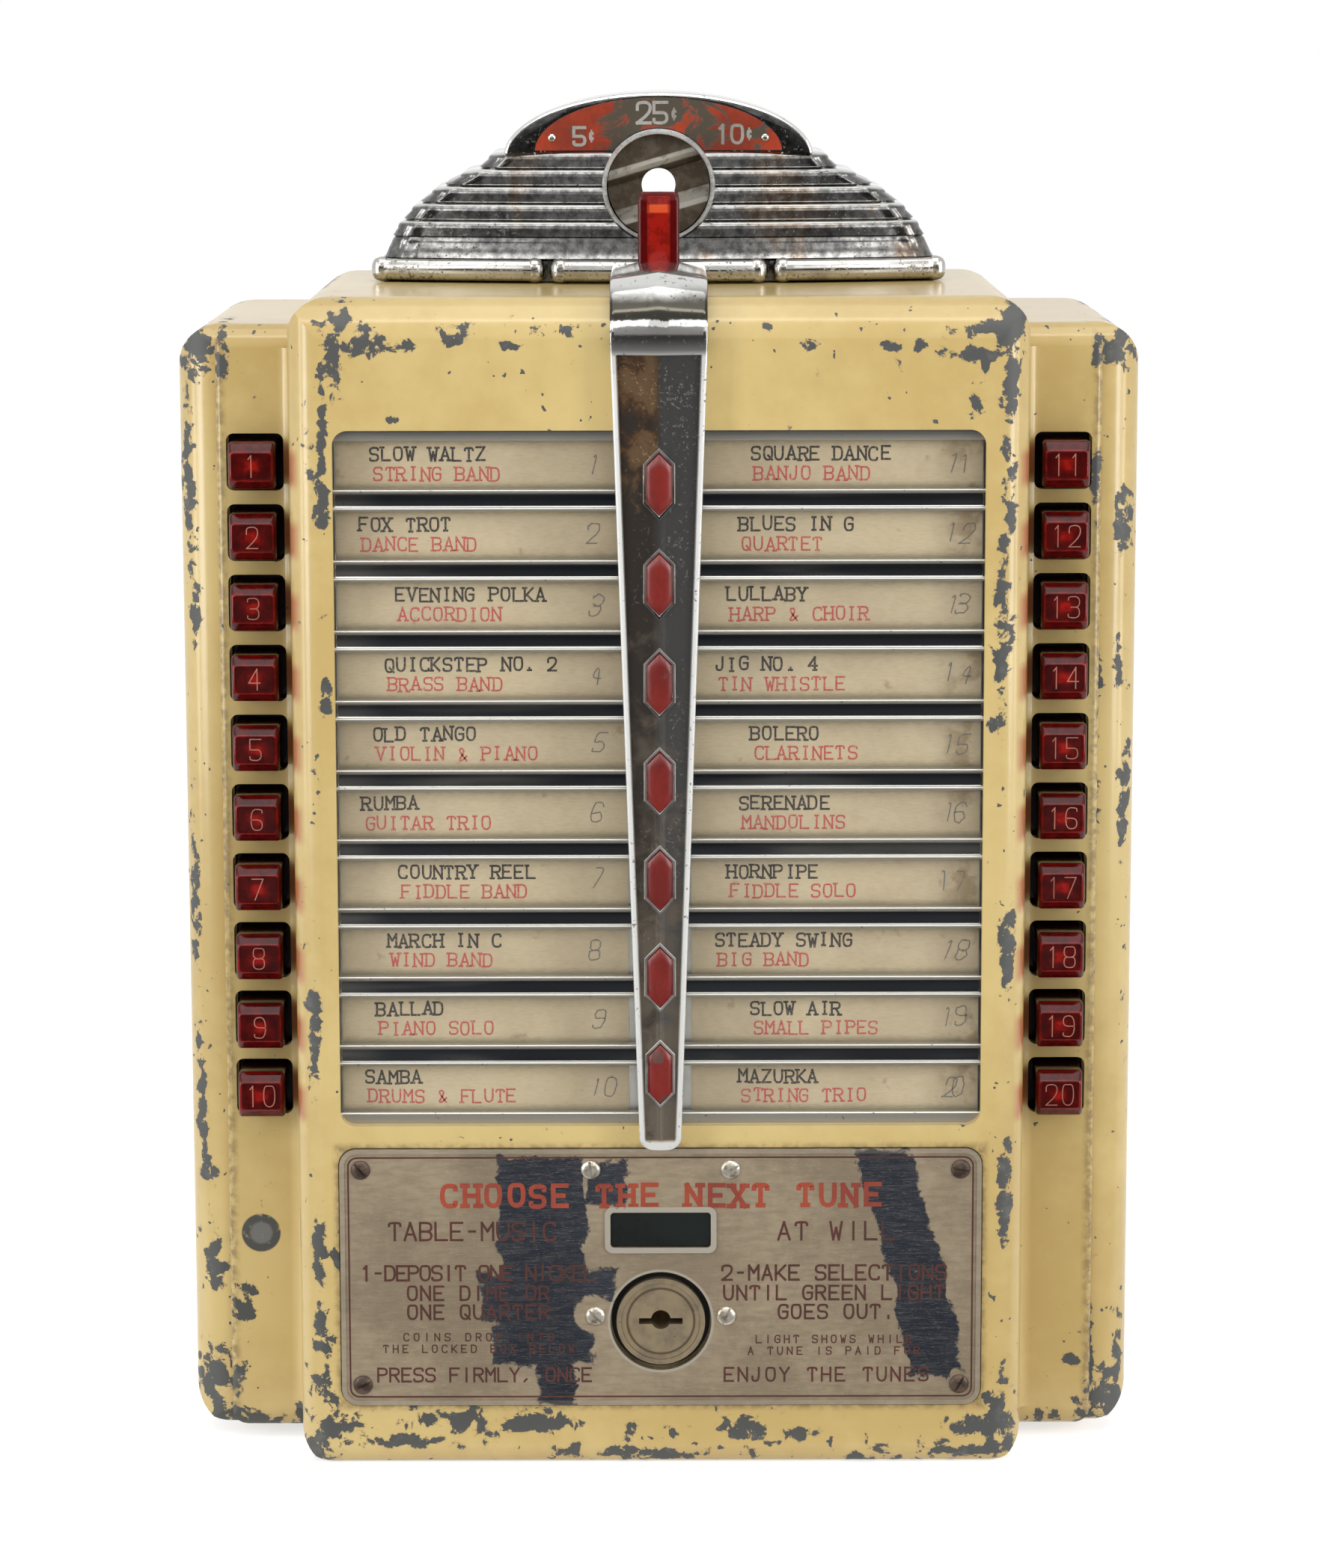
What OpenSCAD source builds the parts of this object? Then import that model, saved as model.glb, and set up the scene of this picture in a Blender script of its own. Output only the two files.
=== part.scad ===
// Wall box selector: a cast case with a stepped front that pulls off a steel
// back plate. The back plate carries twenty push buttons and the works, the
// case carries the title panel, the coin head and the lock.
// Depths run back from the flat front of the centre block, heights up from its foot.

/* [Case] */
// Width over the two outer strips
case_w = 254.2; // [246:0.2:280]
// Height of the wings beside the centre block
wing_top = 303; // [296:0.5:306]
// Height of the centre block
block_top = 311.2; // [307:0.2:325]
// Width of each outer strip
outer_w = 10.5; // [8:0.1:14]
// Depth from the flat front to the back edge
case_d = 132; // [126:1:160]
// Thickness of the cast wall
wall = 3; // [2:0.1:3.4]
// Depth of the button channels behind the flat front
channel_y = 24; // [20:0.5:26]
// Width of each button channel
channel_w = 20.4; // [19:0.2:22]
// Step from a channel back to the outer strip
strip_step = 3; // [1:0.5:4]
// Height of the wings' foot above the block's foot
wing_foot = 3; // [0:0.5:5]
// Radius of the block's upright edges
block_edge_r = 8.2; // [5:0.2:9]
// Radius of the block's top edge and upper corners
block_top_r = 10.5; // [6:0.5:12]
// Radius of the block's lower edge
block_foot_r = 6; // [4:0.5:9]
// Radius of the outer strips' upright edges
strip_edge_r = 10.2; // [6:0.2:11]
// Radius of the wings' upper and lower corners
wing_corner_r = 12; // [8:0.5:14]
// Radius of the channels' top edge
channel_top_r = 6; // [4:0.5:8]
// Radius of the hollow between a channel and the block
channel_fillet_r = 4; // [2:0.5:4]

/* [Title panel] */
// From the side of the centre block to the window
window_side = 11.7; // [10.5:0.1:18]
// From the name plate up to the window
sill_h = 6.2; // [5:0.1:9]
// Distance from one title row to the next
row_pitch = 18.4; // [17:0.1:18.7]
// Height of a title strip that shows between two rails
row_gap = 12.6; // [11:0.1:14]
// Corner radius of the window
window_r = 4; // [1:0.5:6]
// Thickness of the chrome rails
rail_t = 3; // [2:0.1:4]
// Thickness of the window glass
glass_t = 1.5; // [1:0.1:2.5]
// Gap between the two columns of cards
card_gap = 16.6; // [14:0.2:40]
// Thickness of a title card
card_t = 0.3; // [0.2:0.05:0.5]
// Thickness of the steel board behind the cards
board_t = 1.2; // [0.8:0.1:2]

/* [Buttons] */
// Distance from one button to the next
button_pitch = 18.7; // [18.2:0.1:19]
// How far the buttons' middle lies below the title rows' middle
button_drop = 2.4; // [0:0.1:4]
// Width and height of a button cap
cap_w = 12.3; // [11:0.1:13]
// How far a cap stands out of its channel
cap_proud = 12.4; // [8:0.2:14]
// Bevel along the top and bottom of a cap
cap_bevel = 2.5; // [1:0.1:3]
// Gap round a cap in its hole
cap_gap = 1.4; // [0.8:0.1:1.6]
// Corner radius of a button hole
button_hole_r = 2; // [0.5:0.1:3]
// How far a button travels
button_travel = 4; // [2:0.5:5]
// Diameter of a button's stem
stem_d = 4; // [3:0.1:5]

/* [Name plate and lock] */
// From the side of the centre block to the plate
plate_side = 11.2; // [9.5:0.1:16]
// Height of the plate
plate_h = 70; // [66:0.5:71]
// Lowest edge of the plate
plate_z = 17; // [14:0.5:18]
// Thickness of the plate
plate_t = 1.6; // [1.5:0.1:2.4]
// Corner radius of the plate
plate_r = 4.5; // [2:0.5:8]
// Height of the lock's axis
lock_z = 40; // [38:0.5:42]
// Diameter of the clearance hole round the lock
lock_hole_d = 26.9; // [25:0.1:28]
// Diameter of the lock's barrel
lock_d = 23.6; // [22:0.1:24]
// Diameter of the lock's turning plug
plug_d = 20.9; // [18:0.1:21.2]
// Height of the middle of the indicator window
lens_z = 65; // [64:0.2:67]
// Width of the indicator window
lens_w = 26.6; // [20:0.2:30]
// Height of the indicator window
lens_h = 9.6; // [8:0.2:11]

/* [Coin head] */
// From the side of the centre block to the head's foot
head_side = 19.5; // [16:0.1:23]
// Height of the head above the case
head_h = 51; // [50:0.2:54]
// Width of the crest on top of the head
crest_w = 84; // [80:1:90]
// Height of the crest above the ribs
crest_h = 15.9; // [15:0.1:17]
// Depth of the head's front, at the middle
head_y = 64; // [62:0.5:66]
// Depth from there to the head's back
head_d = 52; // [48:1:56]
// Radius of the bow of the head's front, seen from above
bow_r = 232; // [200:1:300]
// Diameter of the coin dial's opening
dial_d = 28; // [27:0.1:29]
// Height of the dial's axis above the case
dial_up = 26; // [25.6:0.1:26.4]
// Width of the channel across the dial
coin_channel_w = 12.6; // [11:0.1:14]
// Depth of the channel across the dial
coin_channel_d = 5; // [4:0.1:6]
// Tilt of the channel at rest
coin_tilt = 16.5; // [0:0.5:30]
// Width of the red jewel
jewel_w = 11.1; // [9:0.1:12]
// Height of the red jewel above the pilaster
jewel_h = 18.2; // [14:0.1:20]

/* [Pilaster] */
// Width of the pilaster at the top
pil_w = 25.2; // [24:0.2:28]
// Width of the pilaster at its lower end
pil_w_low = 11.2; // [10:0.2:13]
// Height of the pilaster's ridge above the case
pil_proud = 6.8; // [6:0.1:8]
// Fall of the pilaster's faces from the ridge to the sides
pil_fall = 1.9; // [1:0.1:2.4]
// Width of the pilaster's rims
rim_w = 1.5; // [1:0.1:1.8]
// How far the pilaster runs below the window
pil_drop = 5; // [3.5:0.1:5.6]

/* [Back plate and works] */
// Thickness of the back plate
back_t = 2; // [1.5:0.1:3]
// From the wall screws to the sides of the case
wall_side = 37.1; // [34:0.1:50]
// Distance between the wall screws up and down
wall_z = 230; // [180:1:236]
// Diameter of the wall screw holes
wall_d = 5.5; // [4:0.1:7]
// Diameter of the cable's way through the grommet
cable_d = 9; // [6:0.5:10]
// Diameter of the locating pins
locate_d = 5; // [4:0.1:6]
// Thickness of folded steel
steel_t = 1.5; // [1:0.1:2]
// Width of the coin chute's way
chute_w = 30; // [28:0.5:32]
// Depth of the coin chute's way
chute_d = 8; // [6:0.5:8.5]
// Width of the cash box
cash_w = 104; // [90:1:108]
// Height of the cash box
cash_h = 49; // [40:1:50]
// Diameter of the contact disc
disc_d = 54; // [48:1:58]
// Diameter of a valve's glass
valve_d = 25; // [20:0.5:28]
// Diameter of a capacitor can
can_d = 22; // [18:0.5:23]

/* [Hidden] */
$fn = 64;

// Clearances
seat = 0.3;      // between pieces that seat without touching
run = 0.05;      // round a shaft in its bore
slip = 0.5;      // round the back plate in the case
over = 1;        // how far a cut runs past the face that it opens

// Case
rows = 10;
front_y = -(case_d + pil_proud) / 2 + pil_proud;
case_x = case_w / 2;
ridge_x = case_x - outer_w;
block_x = ridge_x - channel_w;
channel_x = block_x + channel_w / 2;
strip_y = channel_y + strip_step;
ridge_r = 1.5;
plate_y = case_d - back_t;
lug = 12;
lug_y = case_d - 20;
locate_x = case_x - wall - lug / 2;
locate_z = [wing_foot + wall + 24, wing_top - wall - lug / 2 - 2];
pin_depth = 18;

// Title panel, from the front to the back
window_w = 2 * (block_x - window_side);
window_h = rows * row_pitch;
window_z = plate_z + plate_h + sill_h;
window_mid_z = window_z + window_h / 2;
card_w = (window_w - card_gap) / 2;
rails_y = wall;
glass_y = rails_y + rail_t;
card_y = glass_y + glass_t;
board_y = card_y + card_t;
panel_lip = 2.5;
panel_x = window_w / 2 + panel_lip;
panel_z0 = window_z - panel_lip - 1;
panel_z1 = window_z + window_h + panel_lip;
rail_h = row_pitch - row_gap;
rail_lip = 0.6;
stile_w = 3;

// Buttons
button_mid_z = window_mid_z - button_drop;
hole_w = cap_w + 2 * cap_gap;
cap_y = channel_y - cap_proud;
flange_y = strip_y + wall + 1;
flange_t = 2;
flange_w = cap_w + 3.4;
guide_y = flange_y + flange_t + button_travel + 3;
collar_t = 1.2;
collar_d = stem_d + 3;
stem_end_y = guide_y + steel_t + seat + collar_t + button_travel + 2.5;
blade_y = stem_end_y + button_travel + seat;
blade_t = 0.4;
blade_w = 5;
blade_step = 2.6;
strip_w = 5;
strip_x = channel_x + collar_d / 2 + 3;
rail_in_x = block_x - wall + 2;
rail_out_x = strip_x + strip_w + 1;
rail_end = 14;
rail_z0 = button_mid_z - (rows - 1) / 2 * button_pitch - rail_end;
rail_z1 = button_mid_z + (rows - 1) / 2 * button_pitch + rail_end;

// Name plate, lens and lock
recess_d = 1.2;
screw_d = 2.4;
screw_head_d = 5.2;
plate_w = 2 * (block_x - plate_side);
plate_mid_z = plate_z + plate_h / 2;
screw_in = 5.6;
screw_x = plate_w / 2 - screw_in;
lens_screw_x = 18.5;
lock_screw_x = 17.4;
barrel_y = -0.8;
barrel_end_y = 25;
cam_y = barrel_end_y + 0.6;
cam_t = 2;
cam_len = 28;
cam_w = 12;
keeper_y = cam_y - 0.5 - steel_t;
keeper_x = lock_d / 2 + 3.4;
keeper_w = 18;
keeper_drop = 10;
keeper_arm = 16;
cam_hub_d = 8;
key_w = 11.6;
key_t = 1.6;
key_mid_d = 5.2;
plug_sink = 0.4;
rim_t = 0.3;
plate_rim = 1.3;
lens_frame = 1.5;
lens_lip = 2;
lock_lip = lock_screw_x - screw_d / 2 - seat - lock_hole_d / 2;
lock_lip_t = 2.5;
slot_t = 0.7;
head_t = 1.1;

// Head
bumper_d = 5.6;
bumper_up = 3.5;
bumper_mid_x = 27;
bumper_side_x = 34.5;
bumper_side_y = 12.2;
value_in = 8.2;
value_low = 1.1;
value_sink = 1;
clear_front = 10;  // how far cuts reach out ahead of the bowed front
head_z = block_top;
head_w = 2 * (block_x - head_side);
plinth_h = 6.6;
band_h = 5.4;
ribs = 5;
crest_z = head_z + head_h - crest_h;
band_z = head_z + plinth_h;
rib_z = band_z + band_h;
plinth_back = 3.5;
lap = 0.3;
rib_pitch = (crest_z - rib_z) / ribs;
rib_r = rib_pitch / 2 - 0.2;
rib_back = 1.6;
crest_y = head_y + 10.5;
head_back_y = head_y + head_d;
bow_y = head_y + bow_r;
rib_arch_a = head_w / 2 - 2.2;
rib_arch_b = 34.7;
dial_z = head_z + dial_up;
dial_y = head_y + 7.2;
dial_t = 10.5;
chamber_y = dial_y + dial_t + seat;
hub_d = 18;
hub_len = 24;
sight_d = 9.2;
ring_w = 1.2;
ring_y = head_y + 4.4;
bezel_t = 2.6;
slot_y = chamber_y - chute_d + 1;
stud_d = 4;
stud_x = 50;
stud_y = head_y + 34;
stud_len = 8;
nut_t = 2.4;
nut_d = 7.6;

// Pilaster
pil_len_y = head_y - bumper_d / 2 - seat;
pil_arc_y = block_top_r;
pil_arc_z = block_top - block_top_r;
pil_recess = 1.5;
pil_z = window_z - pil_drop;
pil_panel_z = pil_arc_z - 4;
pil_stud_z = (panel_z1 + pil_arc_z) / 2;
pil_stud_y = 34;
enamels = 7;
enamel_up = 15.2;
enamel_z0 = window_z + enamel_up;
enamel_pitch = 25.9;
enamel_h = 18.6;
enamel_w = 8.2;
enamel_lip = 0.9;
enamel_rise = 1.0;
jewel_d = 9;
jewel_y = pil_len_y - jewel_d - 1.2;
jewel_sink = 3.6;

// Works
wall_drop = 28;
wall_mid_z = window_mid_z - wall_drop;
wall_x = case_w - 2 * wall_side;
chute_y = slot_y;
chute_top_z = block_top - wall - 2.2;
carrier_z = 6.2;
cash_z = carrier_z + steel_t;
shelf_z = cash_z + cash_h + 2.6;
chute_z0 = shelf_z + steel_t + 0.5;
cash_y = barrel_end_y + 19;
cash_back_y = plate_y - steel_t - 0.5;
disc_side = 38.2;
disc_x = rail_in_x - disc_side;
disc_z = 200;
disc_t = 3;
motor_d = 42;
motor_len = 35;
motor_y = plate_y - motor_len;
motor_bore = 12;
shaft_in = 10;
wiper_y = motor_y - disc_t - 6;
shaft_d = 6;
studs = 20;
stud_ring = disc_d / 2 - 7;
trans_side = 35.2;
trans_x = trans_side - rail_in_x;
trans_w = 58;
trans_d = 38;
trans_z0 = 114;
trans_z1 = 250;
trans_y = plate_y - trans_d;
valve_pitch = 44;
valve_z = 138;
socket_d = 18;
socket_t = 3;
valve_len = 56;
can_side = 25.2;
can_pitch = 26;
can_x = [rail_in_x - can_side - can_pitch, rail_in_x - can_side];
can_z = 138;
can_len = 40;
lamp_z = rail_z1 - 16;
lamp_y = guide_y + 12;
lamp_d = 13;
lamp_len = 16;
pilot_d = 8;
pilot_z = lens_z + 2;
pilot_y = keeper_y + 6;
post_w = 8;
post_d = 6;
switch_z = 150;
switch_h = 26;
lever_h = 24;
switch_w = 9;
core_side = 7.2;
core_w = 52;
core_x = [core_side - rail_in_x, core_side + core_w - rail_in_x];
core_lift = 6;
core_d = 30;
core_h = 42;
coil_in = [10, 9];
coil_d = 10;
contact_d = 3;
contact_t = 1.5;
arm_w = 5;
arm_t = 2;
grip_w = 28;
grip_d = 9;
holder_len = 11;
grommet_side = 24;
grommet_x = cash_w / 2 + grommet_side;
grommet_z = 34;
grommet_d = cable_d + 7;

/* Helpers: an outline drawn in X and Z is drawn out along the depth, and so on */
module in_case() translate([0, front_y, 0]) children();

module along_y(y0, y1) translate([0, y1, 0]) rotate([90, 0, 0]) linear_extrude(y1 - y0) children();

module along_x(x0, x1) translate([x0, 0, 0]) rotate([90, 0, 90]) linear_extrude(x1 - x0) children();

module rod_y(x, z, y0, y1, d) translate([x, y1, z]) rotate([90, 0, 0]) cylinder(h = y1 - y0, d = d);

module block_from(low, high) translate(low) cube(high - low);

module both_sides() {
    children();
    mirror([1, 0, 0]) children();
}

// Rectangle with its own radius at the lower and at the upper corners
module rounded(low, high, r_low, r_high) {
    union() {
        translate([low[0], low[1] + r_low]) square([high[0] - low[0], high[1] - low[1] - r_low - r_high]);
        translate([low[0] + r_low, low[1]]) square([high[0] - low[0] - 2 * r_low, r_low + 0.01]);
        translate([low[0] + r_high, high[1] - r_high - 0.01])
            square([high[0] - low[0] - 2 * r_high, r_high + 0.01]);
        for (x = [low[0] + r_low, high[0] - r_low]) translate([x, low[1] + r_low]) circle(r_low);
        for (x = [low[0] + r_high, high[0] - r_high]) translate([x, high[1] - r_high]) circle(r_high);
    }
}

module round_frame(w, h, r) rounded([-w / 2, -h / 2], [w / 2, h / 2], r, r);

// Side outline with rounded front corners and a square back
module side_outline(y0, y1, z0, z1, r_low, r_high) {
    union() {
        translate([y0, z0 + r_low]) square([y1 - y0, z1 - z0 - r_low - r_high]);
        translate([y0 + r_low, z0]) square([y1 - y0 - r_low, r_low + 0.01]);
        translate([y0 + r_high, z1 - r_high - 0.01]) square([y1 - y0 - r_high, r_high + 0.01]);
        translate([y0 + r_low, z0 + r_low]) circle(r_low);
        translate([y0 + r_high, z1 - r_high]) circle(r_high);
    }
}

// A body whose outline is rounded from above, from the front and from the side;
// t draws every face in by that much, and the back runs on to y1
module rounded_body(x, y0, y1, z0, z1, edge_r, corner_low, corner_high, low_r, top_r, t) {
    intersection() {
        translate([0, 0, z0 - over]) linear_extrude(z1 - z0 + 2 * over)
            rounded([-x + t, y0 + t], [x - t, y1 + 30], edge_r - min(t, edge_r - 0.4), 1);
        along_y(y0 - over, y1)
            rounded([-x + t, z0 + t], [x - t, z1 - t],
                    corner_low - min(t, corner_low - 0.4), corner_high - min(t, corner_high - 0.4));
        along_x(-x - over, x + over)
            side_outline(y0 + t, y1, z0 + t, z1 - t,
                         low_r - min(t, low_r - 0.4), top_r - min(t, top_r - 0.4));
    }
}

module case_form(t, back) {
    union() {
        rounded_body(block_x, 0, back, 0, block_top, block_edge_r,
                     block_top_r, block_top_r, block_foot_r, block_top_r, t);
        rounded_body(ridge_x, channel_y, back, wing_foot, wing_top, ridge_r,
                     channel_top_r, channel_top_r, channel_top_r, channel_top_r, t);
        rounded_body(case_x, strip_y, back, wing_foot, wing_top, strip_edge_r,
                     wing_corner_r, wing_corner_r, channel_top_r, channel_top_r, t);
    }
}

// Hollow corner that blends the channel floor into the block's side
module channel_fillets() {
    both_sides()
        translate([0, 0, wing_foot + channel_top_r])
            linear_extrude(wing_top - wing_foot - 2 * channel_top_r)
                difference() {
                    translate([block_x - 0.5, channel_y - channel_fillet_r])
                        square([channel_fillet_r + 0.5, channel_fillet_r + 0.5]);
                    translate([block_x + channel_fillet_r, channel_y - channel_fillet_r])
                        circle(channel_fillet_r);
                }
}

function button_z(i) = button_mid_z + ((rows - 1) / 2 - i) * button_pitch;
function row_z(i) = window_mid_z + ((rows - 1) / 2 - i) * row_pitch;

module plate_outline(grow) translate([0, plate_mid_z])
    round_frame(plate_w + 2 * grow, plate_h + 2 * grow, plate_r + grow);

function screw_places() = [
    for (x = [-screw_x, screw_x]) for (z = [plate_z + screw_in, plate_z + plate_h - screw_in]) [x, z],
    for (x = [-lens_screw_x, lens_screw_x]) [x, plate_z + plate_h - screw_in],
    for (x = [-lock_screw_x, lock_screw_x]) [x, lock_z + 1.4]];

/* The cover: everything that comes away with the cast case */

module cover_shell() color("#d8c684") in_case() {
    difference() {
        union() {
            difference() {
                union() {
                    case_form(0, case_d);
                    channel_fillets();
                }
                case_form(wall, case_d + over);
            }
            both_sides() for (z = locate_z)
                block_from([locate_x - lug / 2, lug_y - lug, z - lug / 2],
                           [case_x - wall / 2, lug_y, z + lug / 2]);
        }
        // Title window
        along_y(-over, wall + over) translate([0, window_mid_z]) round_frame(window_w, window_h, window_r);
        // Recess of the name plate, and the ways through it
        along_y(-over, recess_d) plate_outline(seat);
        rod_y(0, lock_z, 0, wall + over, lock_hole_d);
        along_y(0, wall + over) translate([0, lens_z]) round_frame(lens_w, lens_h, 1);
        for (p = screw_places()) rod_y(p[0], p[1], 0, wall + over, screw_d + 2 * run);
        // Button holes
        both_sides() for (i = [0:rows - 1])
            along_y(channel_y - over, channel_y + wall + over)
                translate([channel_x, button_z(i)]) round_frame(hole_w, hole_w, button_hole_r);
        // Coin slot in the roof, and the holes for the studs
        block_from([-chute_w / 2, slot_y, block_top - wall - over],
                   [chute_w / 2, slot_y + chute_d, block_top + over]);
        for (x = [-stud_x, stud_x])
            translate([x, stud_y, block_top - wall - over])
                cylinder(h = wall + 2 * over, d = stud_d + 2 * run);
        translate([0, pil_stud_y, block_top - wall - over])
            cylinder(h = wall + 2 * over, d = stud_d + 2 * run);
        rod_y(0, pil_stud_z, -over, wall + over, stud_d + 2 * run);
        // Sockets of the locating pins
        both_sides() for (z = locate_z)
            rod_y(locate_x, z, lug_y - lug - over, lug_y + over, locate_d + 2 * run);
    }
}

module nut(t) difference() {
    cylinder(h = t, d = nut_d, $fn = 6);
    translate([0, 0, -over]) cylinder(h = t + 2 * over, d = stud_d + 2 * run);
}

module stud_nuts() color("#8d8a80") in_case() {
    for (x = [-stud_x, stud_x]) translate([x, stud_y, block_top - wall - nut_t]) nut(nut_t);
    translate([0, pil_stud_y, block_top - wall - nut_t]) nut(nut_t);
    translate([0, wall + nut_t, pil_stud_z]) rotate([90, 0, 0]) nut(nut_t);
}

module panel_sheet(y0, t) block_from([-panel_x, y0, panel_z0], [panel_x, y0 + t, panel_z1]);

module window_glass() color("#cfd8d4", 0.4) in_case() panel_sheet(glass_y, glass_t);

module title_board() color("#77756c") in_case() difference() {
    panel_sheet(board_y, board_t);
    for (x = [-panel_x + 4, panel_x - 4]) for (z = [panel_z0 + 6, window_mid_z, panel_z1 - 6])
        rod_y(x, z, board_y - over, board_y + board_t + over, 3);
}

// A rail is a channel whose two lips stand a little proud of its floor
module rail_section(h) {
    y0 = rails_y;
    polygon([[y0 + rail_t, -h / 2], [y0 + rail_lip, -h / 2], [y0, -h / 2 + rail_lip],
             [y0, -h / 2 + 2 * rail_lip], [y0 + rail_lip, -h / 2 + 3 * rail_lip],
             [y0 + rail_lip, h / 2 - 3 * rail_lip], [y0, h / 2 - 2 * rail_lip],
             [y0, h / 2 - rail_lip], [y0 + rail_lip, h / 2], [y0 + rail_t, h / 2]]);
}

module title_rails() color("#b9b9b4") in_case() {
    union() {
        for (i = [1:rows - 1]) along_x(-panel_x + 1, panel_x - 1)
            translate([0, row_z(i) + row_pitch / 2]) rail_section(rail_h);
        for (x = [-panel_x, panel_x - stile_w, -stile_w / 2])
            block_from([x, rails_y + rail_lip, panel_z0], [x + stile_w, glass_y, panel_z1]);
        block_from([-panel_x, rails_y, panel_z0],
                   [panel_x, glass_y, row_z(rows - 1) - row_gap / 2]);
        block_from([-panel_x, rails_y, row_z(0) + row_gap / 2], [panel_x, glass_y, panel_z1]);
    }
}

module title_cards() color("#c8ae86") in_case()
    both_sides() for (i = [0:rows - 1])
        block_from([panel_x - card_w - panel_lip, card_y, row_z(i) - row_gap / 2 - 1.4],
                   [panel_x - panel_lip, card_y + card_t, row_z(i) + row_gap / 2 + 1.4]);

/* Pilaster: a gabled strip that tapers down the front and turns over the roof */

pil_x = pil_w / 2;
pil_low_x = pil_w_low / 2;
pil_end_z = pil_z + pil_low_x;
function pil_half(z) = pil_low_x + (pil_x - pil_low_x) * (z - pil_end_z) / (pil_arc_z - pil_end_z);

// Tapering face seen from the front, drawn in by t, up to a height
module pil_taper(t, top_z) along_y(-pil_proud - over, 0)
    polygon([[t - pil_half(pil_end_z), pil_end_z], [pil_half(pil_end_z) - t, pil_end_z],
             [pil_half(top_z) - t, top_z], [t - pil_half(top_z), top_z]]);

// Rounded lower end of that face
module pil_end(t) rod_y(0, pil_end_z, -pil_proud - over, 0, 2 * (pil_low_x - t));

// Gabled section, as height above the case over the distance from the ridge
module gable(h, x) polygon([[-x, 0], [x, 0], [x, h - pil_fall * x / pil_x], [0, h],
                            [-x, h - pil_fall * x / pil_x]]);

// Everything that lies more than h out from the front, along a gable's two faces
module outside_gable(h) translate([0, 0, pil_z - over]) mirror([0, 1, 0]) linear_extrude(pil_arc_z - pil_z)
    polygon([[-pil_x - over, h - pil_fall], [0, h], [pil_x + over, h - pil_fall],
             [pil_x + over, h + pil_proud], [-pil_x - over, h + pil_proud]]);

module pil_front() {
    difference() {
        intersection() {
            union() {
                pil_taper(0, pil_arc_z);
                pil_end(0);
            }
            translate([0, 0, pil_z - over]) mirror([0, 1, 0])
                linear_extrude(pil_arc_z - pil_z + 2 * over) gable(pil_proud, pil_x + over);
        }
        // Sunk panel with a ridge of its own
        intersection() {
            pil_taper(rim_w, pil_panel_z);
            outside_gable(pil_proud - pil_recess);
        }
        intersection() {
            pil_end(rim_w);
            outside_gable(pil_proud - pil_recess);
        }
    }
}

module pil_turn() translate([0, pil_arc_y, pil_arc_z]) rotate([0, 90, 0]) rotate([0, 0, 180])
    rotate_extrude(angle = 90) polygon([[pil_arc_y + seat, -pil_x], [pil_arc_y + seat, pil_x],
        [pil_arc_y + pil_proud - pil_fall, pil_x], [pil_arc_y + pil_proud, 0],
        [pil_arc_y + pil_proud - pil_fall, -pil_x]]);

module pil_roof() translate([0, 0, block_top]) rotate([90, 0, 0])
    translate([0, 0, -pil_len_y]) linear_extrude(pil_len_y - pil_arc_y) gable(pil_proud, pil_x);

function enamel_z(i) = enamel_z0 + i * enamel_pitch;
function enamel_x(i) = min(enamel_w / 2, pil_half(enamel_z(i) - enamel_h / 2) - rim_w - 0.4);

// Long six-sided cell, w and h to its edges
module cell(w, h) polygon([[0, -h], [w, -h + w], [w, h - w], [0, h], [-w, h - w], [-w, -h + w]]);

module pilaster() color("#b4b4b2") in_case() difference() {
    union() {
        pil_front();
        pil_turn();
        pil_roof();
        for (i = [0:enamels - 1])
            along_y(-pil_proud + pil_recess - enamel_rise, -pil_proud / 2)
                translate([0, enamel_z(i)]) cell(enamel_x(i), enamel_h / 2);
        rod_y(0, pil_stud_z, -pil_proud / 2, wall + nut_t + 1, stud_d);
        translate([0, pil_stud_y, block_top - wall - nut_t - 1])
            cylinder(h = wall + nut_t + 1 + pil_proud / 2, d = stud_d);
    }
    // Cells for the enamel, and the socket of the jewel
    for (i = [0:enamels - 1])
        along_y(-pil_proud - over, -pil_proud + pil_recess + 0.6)
            translate([0, enamel_z(i)])
                cell(enamel_x(i) - enamel_lip, enamel_h / 2 - 1.5 * enamel_lip);
    block_from([-jewel_w / 2 - seat, jewel_y - seat, block_top + pil_proud - jewel_sink],
               [jewel_w / 2 + seat, jewel_y + jewel_d + seat, block_top + pil_proud + over]);
}

module pilaster_enamels() color("#7c1c12") in_case()
    for (i = [0:enamels - 1])
        along_y(-pil_proud + pil_recess - enamel_rise + 0.3, -pil_proud + pil_recess + 0.6)
            translate([0, enamel_z(i)])
                cell(enamel_x(i) - enamel_lip, enamel_h / 2 - 1.5 * enamel_lip);

/* Coin head */

function arch_x(a, b, h) = a * sqrt(max(0, 1 - pow(h / b, 2)));
function rib_x(k) = arch_x(rib_arch_a, rib_arch_b, band_h + (k + 0.5) * rib_pitch);
function arch(a, b, n) = [for (i = [0:n]) [a * cos(180 * i / n), b * sin(180 * i / n)]];

// A level slab of the head whose front is bowed, set back from the foremost line
module bow_slab(x, back, z0, z1) translate([0, 0, z0]) linear_extrude(z1 - z0) intersection() {
    translate([0, bow_y]) circle(bow_r - back, $fn = 96);
    translate([-x, head_y - clear_front]) square([2 * x, head_back_y - head_y + clear_front]);
}

// The rounded nose along the front of a slab
module bow_nose(x, back, z, r) {
    a = asin((x - 0.5) / (bow_r - back - r));
    translate([0, bow_y, z]) rotate([0, 0, -90 - a]) rotate_extrude(angle = 2 * a, $fn = 96)
        translate([bow_r - back - r, 0]) circle(r, $fn = 24);
}

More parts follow.
